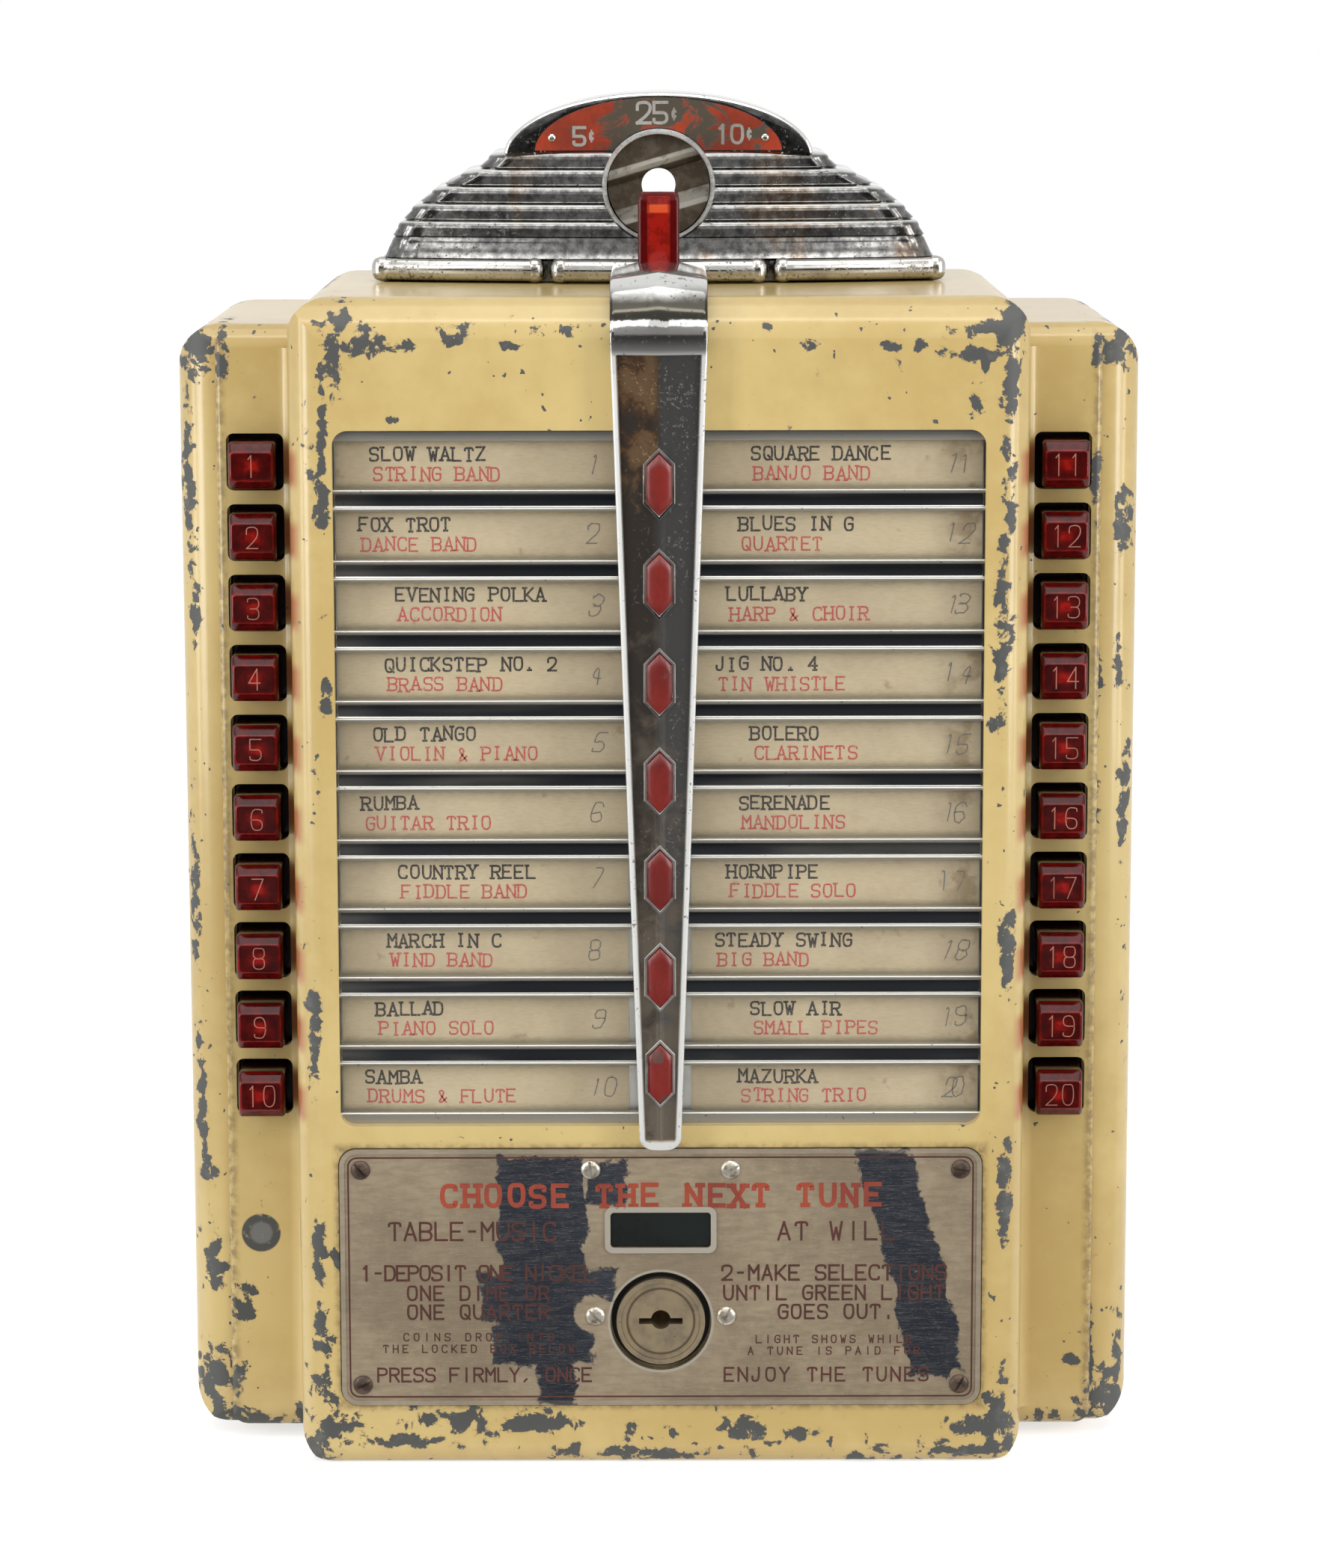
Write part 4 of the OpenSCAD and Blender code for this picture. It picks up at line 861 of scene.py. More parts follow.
def paint_finish():
    """Cream enamel with yellowing, darker specked brown in the creases, chips down to dark metal and a
    painted red reflection of the buttons beside each one.
    """
    look = settings("paint")
    material, tree, place = start_finish("cream_enamel")
    edges = use(case_edges_group(), Place=place)
    base = mottled(place, 9.0, look.cream, look.cream_deep)
    spots = noise(place, 420.0, 3.0, 0.6)
    # Darker, specked brown in the creases beside the block and round the name plate.
    crease_dark_share = edges["Crease_darkening"] * between(spots, 0.35, 0.65, 0.15, 0.75)
    coat = mixed(crease_dark_share, base, (0.16, 0.105, 0.05))
    stain = between(noise(place, 30.0, 4.0, 0.65), 0.6, 0.78, 0.0, 0.22)
    coat = mixed(stain, coat, (0.42, 0.27, 0.1))
    # Painted reflection of the buttons, in red, on the block's side beside each one.
    coat = mixed(edges["Glow"] * 0.85, coat, look.glow)
    chips = use(EFFECTS["chips"], Place=place, Edges=edges["Edges"], Spots=edges["Spots"],
                Level=look.chip_level, Pull=look.edge_pull)
    busy = between(edges["Edges"], 0.0, 0.6, 0.735, 0.7)
    fleck = noise(place, 360.0, 2.0, 0.5)
    specks = between(fleck, busy, busy + 0.015)
    ring = between(edges["Patch"], 0.02, 0.1) * between(noise(place, 500.0, 4.0, 0.6), 0.25, 0.42)
    bare = most(most(chips["Chip"], specks), ring)
    rub = between(noise(place, 190.0, 3.0, 0.6), 0.55, 0.75, 0.0, 0.35)
    rub = most(rub, between(edges["Patch"], 0.38, 0.55, 0.0, 0.9))
    metal = mixed(rub, look.primer, look.worn_metal)
    rim = chips["Rim"] * 0.35
    coat = mixed(rim, coat, (0.3, 0.2, 0.09))
    skin = mixed(bare, coat, metal)
    rough = between(bare, 0.0, 1.0, look.gloss, 0.55)
    height = bare * -1.0 + noise(place, 160.0, 2.0, 0.5) * 0.1
    surface(tree, skin, rough, 0.0, height, 0.35, 0.25 * MM)
    return material


def chrome_finish(name="aged_chrome", pitted=None, tarnish=0.30, colour_of=None):
    """Bright plating with pits, brown film in blotches and a fine haze."""
    look = settings("metal")
    material, tree, place = start_finish(name)
    specks = pits(place, look.pit_amount if pitted is None else pitted, 1100.0)
    film = between(noise(place, 42.0, 5.0, 0.62, 0.5), 0.46, 0.74, 0.0, tarnish)
    base = mixed(film, colour_of or look.chrome, look.tarnish)
    base = mixed(specks * 0.75, base, look.tarnish)
    haze = noise(place, 260.0, 4.0, 0.6)
    rough_map = between(haze, 0.35, 0.7, look.gloss, look.gloss + 0.1) + specks * 0.35
    height = haze * 0.08 - specks
    surface(tree, base, rough_map, 1.0, height, 0.25, 0.08 * MM)
    return material


def head_finish():
    """Chrome whose upright faces carry a painted dark reflection, mottled grey to brown with tarnish
    and pitted, while the ledges stay bright.
    """
    look = settings("metal")
    material, tree, place = start_finish("head_chrome")
    upright = stored(tree, "upright")
    specks = pits(place, 0.45, 950.0)
    grain = noise(place, 420.0, 4.0, 0.65)
    cloud = noise(place, 38.0, 4.0, 0.6, 0.4)
    # Painted reflection: the upright faces are painted dark, with a grain, and the ledges keep bright
    # chrome.
    film = upright * between(grain, 0.3, 0.7, 0.78, 1.0)
    shade = mixed(between(cloud, 0.54, 0.68), (0.062, 0.061, 0.06), (0.095, 0.065, 0.042))
    base = mixed(film, look.chrome, shade)
    base = mixed(specks * 0.75, base, (0.045, 0.038, 0.032))
    rough = between(upright, 0.0, 1.0, 0.1, 0.17) + specks * 0.3
    surface(tree, base, rough, 1.0, grain * 0.12 - specks, 0.3, 0.1 * MM)
    return material


def dial_finish():
    """The dial: a brown worn face, and silvery walls on both sides of its slanted channel."""
    material, tree, place = start_finish("dial_metal")
    split = parts(place)
    lean = math.radians(16)
    rise = (split[2] - DIAL_Z) * math.cos(lean) - (split[0] - DIAL_X) * math.sin(lean)
    upper = band(rise, 5.0 * MM, 7.4 * MM)
    lower = band(rise, -7.6 * MM, -3.4 * MM)
    ragged = noise(place, 320.0, 4.0, 0.6)
    bright = most(upper, lower) * between(ragged, 0.36, 0.5, 0.5, 1.0)
    face = mixed(between(ragged, 0.42, 0.62), (0.085, 0.062, 0.04), (0.135, 0.105, 0.075))
    base = mixed(bright, face, (0.62, 0.59, 0.52))
    surface(tree, base, mixed_number(bright, 0.38, 0.3), 0.5, ragged, 0.15, 0.06 * MM)
    return material


def pilaster_finish():
    """Chrome whose sunk panel has darkened, with a brown stain on its upper left face, and a painted
    reflection on the turn over the top: grey, a bright line, then a dark band.
    """
    look = settings("metal")
    material, tree, place = start_finish("pilaster_chrome")
    specks = pits(place, 0.42, 900.0)
    sunk = stored(tree, "sunk")
    split = parts(place)
    ragged = noise(place, 120.0, 5.0, 0.65, 0.6)
    left = between(split[0], 1.0 * MM, -1.5 * MM)
    high = between(split[2] + ragged * (60 * MM), 290 * MM, 305 * MM)
    brown = left * high * between(ragged, 0.38, 0.55)
    worn = between(ragged + split[2] * -2.2, 0.02, 0.3)
    film = mixed(left, (0.2, 0.195, 0.19), (0.105, 0.08, 0.06))
    film = mixed(worn, film, (0.36, 0.29, 0.215))
    film = mixed(brown, film, mixed(between(ragged, 0.45, 0.62), look.rust, (0.5, 0.3, 0.14)))
    # Painted reflection on the turn over the top: chrome below, then grey, a bright line, a dark band
    # and chrome again above.
    high_z = split[2] + ragged * (3 * MM)
    top = mixed(between(high_z, 311.5 * MM, 316.5 * MM), (0.045, 0.042, 0.034), look.chrome)
    turn = mixed(between(high_z, 306.0 * MM, 307.5 * MM), (0.2, 0.195, 0.185), top)
    turn = mixed(band(high_z, 305.6 * MM, 307.2 * MM), turn, look.chrome)
    strip = between(split[2], 296 * MM, 298.5 * MM)
    top = mixed(strip, look.chrome, turn)
    base = mixed(sunk * 0.92, top, film)
    base = mixed(specks * 0.8, base, (0.03, 0.024, 0.02))
    low_down = between(split[2], 285 * MM, 300 * MM, 0.42, 0.1)
    rough = mixed_number(sunk, low_down, 0.2) + specks * 0.3
    plated = most(sunk, between(split[2], 296 * MM, 302 * MM))
    surface(tree, base, rough, mixed_number(plated, 0.25, 0.9), specks * -1.0, 0.3, 0.1 * MM)
    return material


# Places of the name plate that are rubbed down to polished metal and take a painted dark reflection:
# middle x, middle z, half-width, half-height in millimetres, and the lean as x per z
RUBBED = [
    (-31.3, 56.5, 11.3, 28.5, 0.0), (-14.5, 78.0, 5.5, 6.0, 0.0), (-30.5, 46.5, 18.0, 7.0, 0.0),
    (-31.5, 33.5, 13.5, 5.5, 0.0), (-28.0, 22.5, 5.0, 6.0, 0.0),
    (63.3, 70.0, 7.3, 17.5, -0.306), (71.0, 40.0, 7.1, 14.5, -0.19),
]
# Round places within them that kept their surface, round a screw: x, z, radius
KEPT = [(-17.4, 41.4, 5.5), (79.4, 22.6, 4.2)]


def from_point(split, x, z):
    """Distance from an axis that runs front to back, in metres."""
    return span(pair(split[0] - x, split[2] - z))


def lock_finish():
    """Brassy nickel of the lock, with painted shade in the gap round its barrel and a worn ring on its
    face.
    """
    look = settings("metal")
    material, tree, place = start_finish("lock_nickel")
    split = parts(place)
    far = from_point(split, 0.0, LOCK_Z)
    specks = pits(place, 0.35, 800.0)
    cloud = noise(place, 160.0, 4.0, 0.6)
    base = mixed(between(cloud, 0.4, 0.65), look.lock, (0.34, 0.275, 0.19))
    base = mixed(band(far, 8.6 * MM, 9.2 * MM), base, (0.16, 0.12, 0.075))
    base = mixed(specks * 0.6, base, (0.08, 0.06, 0.04))
    # Painted shade: the ring by the gap round the barrel is near black.
    gap = between(far, 11.5 * MM, 11.9 * MM) * between(far, 13.0 * MM, 13.3 * MM, 1.0, 0.0)
    base = mixed(gap, base, (0.008, 0.007, 0.006))
    surface(tree, base, mixed_number(gap, 0.26, 0.6), mixed_number(gap, 0.75, 0.0), cloud, 0.15,
            0.08 * MM)
    return material


def screw_finish():
    """Plate screws: brown and dull at the corners, bright beside the indicator and the lock."""
    material, tree, place = start_finish("plate_screw_heads")
    split = parts(place)
    cloud = noise(place, 420.0, 4.0, 0.6)
    corner = between(abs(split[0]), 60 * MM, 62 * MM)
    bright = mixed(between(cloud, 0.45, 0.62), (0.6, 0.56, 0.48), (0.3, 0.25, 0.18))
    brown = mixed(between(cloud, 0.42, 0.6), (0.1, 0.062, 0.042), (0.045, 0.028, 0.02))
    surface(tree, mixed(corner, bright, brown), mixed_number(corner, 0.28, 0.5),
            mixed_number(corner, 0.7, 0.4), cloud, 0.3, 0.1 * MM)
    return material


def rail_finish():
    """Chromed rails with a painted reflection: dark bluish webs, lighter towards their left ends,
    between bright beads.
    """
    material, tree, place = start_finish("rail_chrome")
    web = stored(tree, "web")
    split = parts(place)
    cloud = noise(stretched(place, (0.12, 1.0, 1.0)), 90.0, 3.0, 0.6)
    specks = pits(place, 0.35, 900.0)
    # Painted reflection: near black bluish webs, paler in patches and towards the left ends.
    pale = maths(tree, "ADD", between(cloud, 0.52, 0.72, 0.0, 0.55),
                 between(split[0], -84 * MM, -70 * MM, 0.5, 0.0), clamp=True)
    dark = mixed(pale, (0.05, 0.053, 0.06), (0.24, 0.235, 0.215))
    base = mixed(web, (0.48, 0.465, 0.42), dark)
    base = mixed(specks * 0.7, base, (0.05, 0.045, 0.04))
    rough = mixed_number(web, 0.34, 0.16)
    surface(tree, base, rough, 0.85, specks * -1.0, 0.25, 0.08 * MM)
    return material


def rubbed_places(place):
    """How far the plate is rubbed, and takes the painted reflection, at a place: slanted boxes with
    ragged edges, less two discs.
    """
    split = parts(place)
    boxes = []
    for x, z, half_w, half_h, lean in RUBBED:
        rise = split[2] - z * MM
        aside = split[0] - x * MM - rise * lean
        boxes.append(most(abs(aside) - half_w * MM, abs(rise) - half_h * MM))
    best = reduce(least, boxes)
    for x, z, radius in KEPT:
        best = most(best, radius * MM - from_point(split, x * MM, z * MM))
    ragged = noise(place, 150.0, 5.0, 0.65, 0.4) - 0.5
    edge = best + ragged * (9 * MM)
    return between(edge, -0.5 * MM, 0.5 * MM, 1.0, 0.0)


def nickel_finish():
    """Cloudy warm nickel of the name plate, finely scored, with rubbed places painted with a dark
    reflection, and painted highlights on its raised rims and round the lock's hole.
    """
    look = settings("metal")
    material, tree, place = start_finish("scratched_nickel")
    base = mottled(place, 30.0, look.nickel, (0.25, 0.195, 0.125))
    lines = use(EFFECTS["scratches"], Place=place, Density=0.6, Size=90.0)["Line"]
    specks = pits(place, 0.28, 1000.0)
    rubbed = rubbed_places(place)
    grain = noise(stretched(place, (0.25, 1.0, 1.0)), 700.0, 4.0, 0.6)
    dull = mixed(between(grain, 0.35, 0.7, 0.0, 0.5), base, (0.2, 0.155, 0.1))
    # Painted reflection: the rubbed, polished places are dark bluish to grey.
    polished_dark_reflection = mixed(between(grain, 0.45, 0.75, 0.0, 0.35), (0.045, 0.052, 0.07), (0.19, 0.185, 0.175))
    cover = mixed(rubbed, dull, polished_dark_reflection)
    cover = mixed(lines * 0.35, cover, (0.5, 0.45, 0.37))
    cover = mixed(specks * 0.6, cover, (0.08, 0.055, 0.035))
    split = parts(place)
    # Painted highlight: a pale line on the raised rims and round the lock's hole.
    raised = between(split[1], PLATE_LOW[1] + 0.12 * MM, PLATE_LOW[1] + 0.24 * MM, 1.0, 0.0)
    ring = band(from_point(split, 0.0, LOCK_Z), 13.5 * MM, 14.1 * MM)
    cover = mixed(most(raised, ring), cover, (0.4, 0.365, 0.3))
    rough = mixed_number(rubbed, 0.36, 0.13) + lines * 0.2
    surface(tree, cover, rough, mixed_number(rubbed, 0.25, 0.6), lines, 0.12, 0.05 * MM)
    return material


def enamel_finish(name, first, second, stain, amount, pool=None):
    """Fired enamel with stains that eat in from noise, and more so round the pool's middle.

    The pool is a middle x, a middle z and a radius in metres.
    """
    material, tree, place = start_finish(name)
    base = mottled(place, 70.0, first, second)
    eating = noise(place, 95.0, 5.0, 0.6, 0.8)
    if pool:
        far = from_point(parts(place), pool[0], pool[1])
        eating = eating + between(far, 0.5 * pool[2], 1.5 * pool[2], 0.2, 0.0)
    eaten = between(eating, 0.62 - amount, 0.7 - amount)
    cover = mixed(eaten, base, stain)
    grain = noise(place, 1500.0, 3.0, 0.6)
    rough = between(eaten, 0.0, 1.0, 0.28, 0.62)
    surface(tree, cover, rough, 0.0, grain * 0.3 - eaten, 0.3, 0.08 * MM)
    return material


def red_plastic_finish(name, deep, bright, glint=None):
    """Clear red moulding, dark, brightened by painted light where the mesh marks it: a painted glow
    inside and painted highlights on edges.

    The glint is the lowest and highest height of a painted orange highlight where the painted light is
    strongest.
    """
    material, tree, place = start_finish(name)
    heart = stored(tree, "heart")
    cloud = noise(place, 380.0, 3.0, 0.6)
    level = heart * between(cloud, 0.35, 0.65, 0.55, 1.25)
    cover = mixed(level, deep, bright)
    if glint:
        up = parts(place)[2]
        spark = band(up, *glint) * between(heart, 0.75, 0.9)
        cover = mixed(spark, cover, (0.62, 0.085, 0.025))
    fine = noise(place, 900.0, 3.0, 0.55)
    rough = between(fine, 0.35, 0.7, 0.08, 0.18)
    surface(tree, cover, rough, 0.0, fine, 0.05, 0.05 * MM, Transmission_Weight=0.12, IOR=1.49,
            Specular_IOR_Level=0.22)
    return material


def glass_finish(name, tint, rough=0.02):
    """Clear glass that lets shadow rays through, with a trace of dust in its roughness."""
    material, tree, place = start_finish(name)
    dust = noise(place, 240.0, 3.0, 0.6)
    colour_map = mixed(between(dust, 0.4, 0.7, 0.0, 0.5), tint, (0.93, 0.91, 0.86))
    rough_map = between(dust, 0.3, 0.8, rough, rough + 0.05)
    shader = surface(tree, colour_map, rough_map, 0.0, Transmission_Weight=1.0, IOR=1.45)
    clear = add(tree, "BsdfTransparent")
    path = fields_of(tree, add(tree, "LightPath"))
    through = most(path["Is Shadow Ray"], path["Is Diffuse Ray"])
    blend = add(tree, "MixShader", {0: through, 1: shader.outputs[0], 2: clear.outputs[0]})
    out = next(node for node in tree.nodes if node.type == "OUTPUT_MATERIAL")
    join(tree, out.inputs["Surface"], blend.outputs[0])
    return material


def paper_finish():
    """Aged card: warm mottling, fibres, a few foxed spots, brown stains towards the right ends and
    painted shade along the edges of each row.
    """
    look = settings("paper")
    material, tree, place = start_finish("aged_card")
    base = mottled(place, 34.0, look.card, (0.57, 0.47, 0.31))
    fibres = noise(stretched(place, (1.0, 1.0, 5.0)), 420.0, 4.0, 0.6)
    cover = mixed(between(fibres, 0.4, 0.75, 0.0, 0.35), base, (0.4, 0.31, 0.18))
    foxing = between(noise(place, 150.0, 3.0, 0.6), 0.66, 0.76, 0.0, 0.5)
    cover = mixed(foxing, cover, (0.3, 0.2, 0.1))
    split = parts(place)
    pitch = (CARDS_HIGH[2] - CARDS_LOW[2] - CARD_TALL) / (ROWS - 1)
    row = maths(tree, "PINGPONG", split[2] - (CARDS_LOW[2] + CARD_TALL / 2), pitch / 2)
    # Painted shade along each row's top and bottom edges, next to the rails.
    shade = between(row + fibres * (1.2 * MM), 5.0 * MM, 7.2 * MM, 0.0, 0.6)
    cover = mixed(shade, cover, (0.24, 0.21, 0.12))
    ends = (between(split[0], 70 * MM, 82 * MM)
            * between(noise(place, 70.0, 4.0, 0.65), 0.5, 0.64, 0.0, 0.65))
    cover = mixed(ends, cover, (0.22, 0.14, 0.06))
    surface(tree, cover, 0.75, 0.0, fibres, 0.1, 0.05 * MM)
    return material


def ink_finish(name, tone, thin, paper):
    """Ribbon ink or pencil: uneven, with the card showing through where it is thin."""
    material, tree, place = start_finish(name)
    gaps = between(noise(place, 1700.0, 4.0, 0.7), 0.5, 0.66, 0.0, thin)
    surface(tree, mixed(gaps, tone, paper), 0.7, 0.0)
    return material


def plain_finish(name, tone, other, rough=0.5, metal=0.0, scale=60.0):
    """Two near tones mottled together with a fine grain, for the works and small parts."""
    material, tree, place = start_finish(name)
    base = mottled(place, scale, tone, other)
    fine = noise(place, 700.0, 3.0, 0.6)
    rough_map = between(fine, 0.3, 0.7, max(rough - 0.08, 0.03), rough + 0.08)
    surface(tree, base, rough_map, metal, fine, 0.15, 0.06 * MM)
    return material


def build_finishes():
    """Every finish that the pieces use, by name."""
    metal, plastic, paper = settings("metal"), settings("plastic"), settings("paper")
    steel_two = tuple(0.87 * part for part in metal.steel)
    return {
        "paint": paint_finish(),
        "chrome": chrome_finish(),
        "bumper_chrome": chrome_finish("bumper_chrome", 0.55, 0.55, (0.47, 0.46, 0.43)),
        "rail_chrome": rail_finish(),
        "head": head_finish(),
        "bright": plain_finish("bright_chrome", (0.66, 0.66, 0.64), (0.50, 0.50, 0.48), 0.30, 0.55,
                               90.0),
        "dial": dial_finish(),
        "pilaster": pilaster_finish(),
        "nickel": nickel_finish(),
        "lock": lock_finish(),
        "screws": screw_finish(),
        "value_enamel": enamel_finish("value_enamel", (0.34, 0.038, 0.012), (0.20, 0.026, 0.010),
                                      (0.040, 0.028, 0.012), 0.06, (DIAL_X, DIAL_Z + 13 * MM, 17 * MM)),
        "red_enamel": enamel_finish("red_enamel", (0.205, 0.014, 0.009), (0.14, 0.010, 0.007),
                                    (0.09, 0.03, 0.02), 0.02),
        "button": red_plastic_finish("button_plastic", plastic.red, plastic.red_core),
        "jewel": red_plastic_finish("jewel_plastic", plastic.jewel, (0.30, 0.011, 0.006),
                                    (JEWEL_TOP - 5.4 * MM, JEWEL_TOP - 3.2 * MM)),
        "number": plain_finish("number_fill", tuple(plastic.number), (0.30, 0.09, 0.06), 0.55),
        "glass": glass_finish("window_pane", (0.97, 0.98, 0.97)),
        "lamp_glass": glass_finish("lamp_glass", (0.95, 0.94, 0.90), 0.05),
        "card": paper_finish(),
        "ink": ink_finish("black_ink", paper.ink, 0.30, paper.card),
        "red_ink": ink_finish("red_ink", paper.red_ink, 0.50, paper.card),
        "pencil": ink_finish("pencil", paper.pencil, 0.45, paper.card),
        "print_red": plain_finish("print_red", (0.33, 0.046, 0.016), (0.22, 0.030, 0.014), 0.5),
        "print_brown": plain_finish("print_brown", (0.085, 0.020, 0.013), (0.060, 0.018, 0.012), 0.5),
        "print_pale": plain_finish("print_pale", (0.31, 0.30, 0.27), (0.20, 0.18, 0.15), 0.6),
        "lens": plain_finish("dark_lens", (0.004, 0.008, 0.006), (0.002, 0.004, 0.003), 0.12),
        "steel": plain_finish("zinc_steel", tuple(metal.steel), steel_two, 0.42, 0.85),
        "lacquer": plain_finish("dark_lacquer", (0.055, 0.052, 0.046), (0.035, 0.033, 0.03), 0.45),
        "resin": plain_finish("brown_resin", (0.075, 0.032, 0.016), (0.045, 0.02, 0.011), 0.3),
        "brass": plain_finish("sprung_brass", (0.60, 0.42, 0.17), (0.42, 0.29, 0.12), 0.32, 1.0),
        "rubber": plain_finish("black_rubber", (0.022, 0.022, 0.022), (0.04, 0.04, 0.038), 0.8),
        "can": plain_finish("drawn_can", (0.58, 0.59, 0.59), (0.46, 0.47, 0.47), 0.35, 1.0),
    }


# CAD nodes that keep their own solids, by the finish that they take
KEPT_NODES = {
    "paint": "cover_shell",
    "steel": "back_plate locating_pins button_rail_left button_rail_right coin_chute cash_carrier "
             "latch_keeper transmitter_chassis stud_nuts title_board lock_cam",
    "resin": "switch_strips coin_switch contact_disc",
    "brass": "contact_blades lamp_holders wiper",
    "lacquer": "cash_box power_transformer pulse_motor",
    "lamp_glass": "lamps valves",
    "rubber": "cable_grommet", "can": "capacitors", "glass": "window_glass", "card": "title_cards",
    "bright": "dial_bezel", "value_enamel": "value_plate", "nickel": "nameplate",
    "lens": "indicator_lens", "lock": "lock_barrel lock_plug", "dial": "coin_dial",
}


def dress_nodes():
    """Gives every kept CAD node its finish."""
    for finish, names in KEPT_NODES.items():
        for name in names.split():
            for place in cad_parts[name].material_slots:
                place.material = FINISHES[finish]


def settle(thing, body, slot_name, *nodes):
    """Lets a piece ride on its body, and stand for the nodes that it replaces."""
    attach(thing, body)
    if nodes:
        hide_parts(*nodes)


def place_piece(shape, name, finish, smooth, slot_name, *nodes, body="cover", **marks):
    """Makes a shape's object in its finish, with its marks, and settles it on its body."""
    thing = shape.make(name, FINISHES[finish], smooth)
    for mark, values in marks.items():
        mark_points(thing, mark, values)
    settle(thing, body, slot_name, *nodes)


# ---- coin head


# Radii of the dial's bore and of the sight hole, how deep the bore goes, and the bumper bars' height
BORE = 14.2 * MM
SIGHT = 9.05 * MM
BORE_BACK = FRONT_Y + 82 * MM
BAR_Z = SHELL_HIGH[2] + 3.5 * MM


def head_loop(half, setback, look, back_y):
    """One level ring of the head: a bowed front, round corners, straight sides and back.

    The front lies on a circle of the bow's radius whose foremost point is the setback
    behind the head's front line; a corner is a quarter circle laid inside its end.
    """
    corner = 6.5 * MM
    x = np.linspace(-1, 1, 81) * (half - corner)
    y = HEAD_LINE + setback + look.bow - np.sqrt(look.bow ** 2 - x ** 2)
    turn = np.linspace(0, np.pi / 2, 10)[1:]
    edge_y = y[-1]
    right_x = half - corner + corner * np.sin(turn)
    right_y = edge_y + corner - corner * np.cos(turn)
    xs = np.concatenate([-right_x[::-1], x, right_x, [half, -half]])
    ys = np.concatenate([right_y[::-1], y, right_y, [back_y, back_y]])
    return xs, ys


def head_levels(look):
    """Heights, half-widths and setbacks of the rings, from the foot to the foot of the crest.

    The foot is a short wall, the flare a hollow quarter, and each rib a leaning face that
    ends in a rounded ledge, drawn in towards the next rib by a quarter ellipse.
    """
    foot = SHELL_HIGH[2]
    width = 74.4 * MM
    rise = 34.7 * MM
    rib_foot = foot + look.plinth + look.flare
    pitch = (HEAD_HIGH[2] - look.crest - rib_foot) / look.rib_count
    steps = np.arange(look.rib_count + 1)
    mid = look.flare + (steps + 0.5) * pitch
    halves = width * np.sqrt(np.maximum(1 - (mid / rise) ** 2, 0.05))
    halves[-1] = look.crest_half + 1.5 * MM
    sets = 1.4 * MM + steps * look.rib_step
    levels = [(foot, 75.2 * MM, 3.9 * MM), (foot + 0.4 * MM, 75.6 * MM, 3.5 * MM),
              (foot + look.plinth - 0.8 * MM, 75.6 * MM, 3.5 * MM),
              (foot + look.plinth - 0.2 * MM, 75.5 * MM, 3.0 * MM)]
    for t in np.linspace(0, 1, 9):
        levels.append((foot + look.plinth + t * look.flare * 0.9,
                       74.8 * MM - 2.2 * MM * t, 0.2 * MM + 1.5 * MM * math.sin(t * math.pi / 2)))
    for k in range(look.rib_count):
        low = rib_foot + k * pitch
        levels.append((low + 0.02 * pitch, halves[k] - 0.5 * MM, sets[k] + 0.55 * MM))
        lean = 0.45 * (halves[k] - halves[k + 1])
        levels.append((low + 0.10 * pitch, halves[k], sets[k]))
        levels.append((low + 0.52 * pitch, halves[k] - lean, sets[k] + 0.15 * MM))
        for t in np.linspace(0, 1, 8)[1:]:
            blend = 1 - math.sqrt(max(1 - t * t, 0.0))
            levels.append((low + (0.52 + 0.46 * t) * pitch,
                           halves[k] - lean + (halves[k + 1] - halves[k] + lean - 0.4 * MM) * blend,
                           sets[k] + 0.15 * MM + (look.rib_step + 0.2 * MM) * blend))
    return levels


def crest_body(shape, look, front, back):
    """The crest: a half ellipse carried back, its front edge rounded over."""
    foot = HEAD_HIGH[2] - look.crest - 1.2 * MM
    angle = np.linspace(0, np.pi, 73)
    lip = 1.3 * MM
    edges = [(front + lip * (1 - math.cos(t)), lip * (1 - math.sin(t)))
             for t in np.linspace(0, np.pi / 2, 7)]
    rings = []
    for y, shrink in edges + [(back, 0.0)]:
        a, b = look.crest_half - shrink, HEAD_HIGH[2] - foot - shrink
        rings.append(standing(np.stack([a * np.cos(angle), b * np.sin(angle)], axis=-1), (0, foot), y))
    loft(shape, rings)


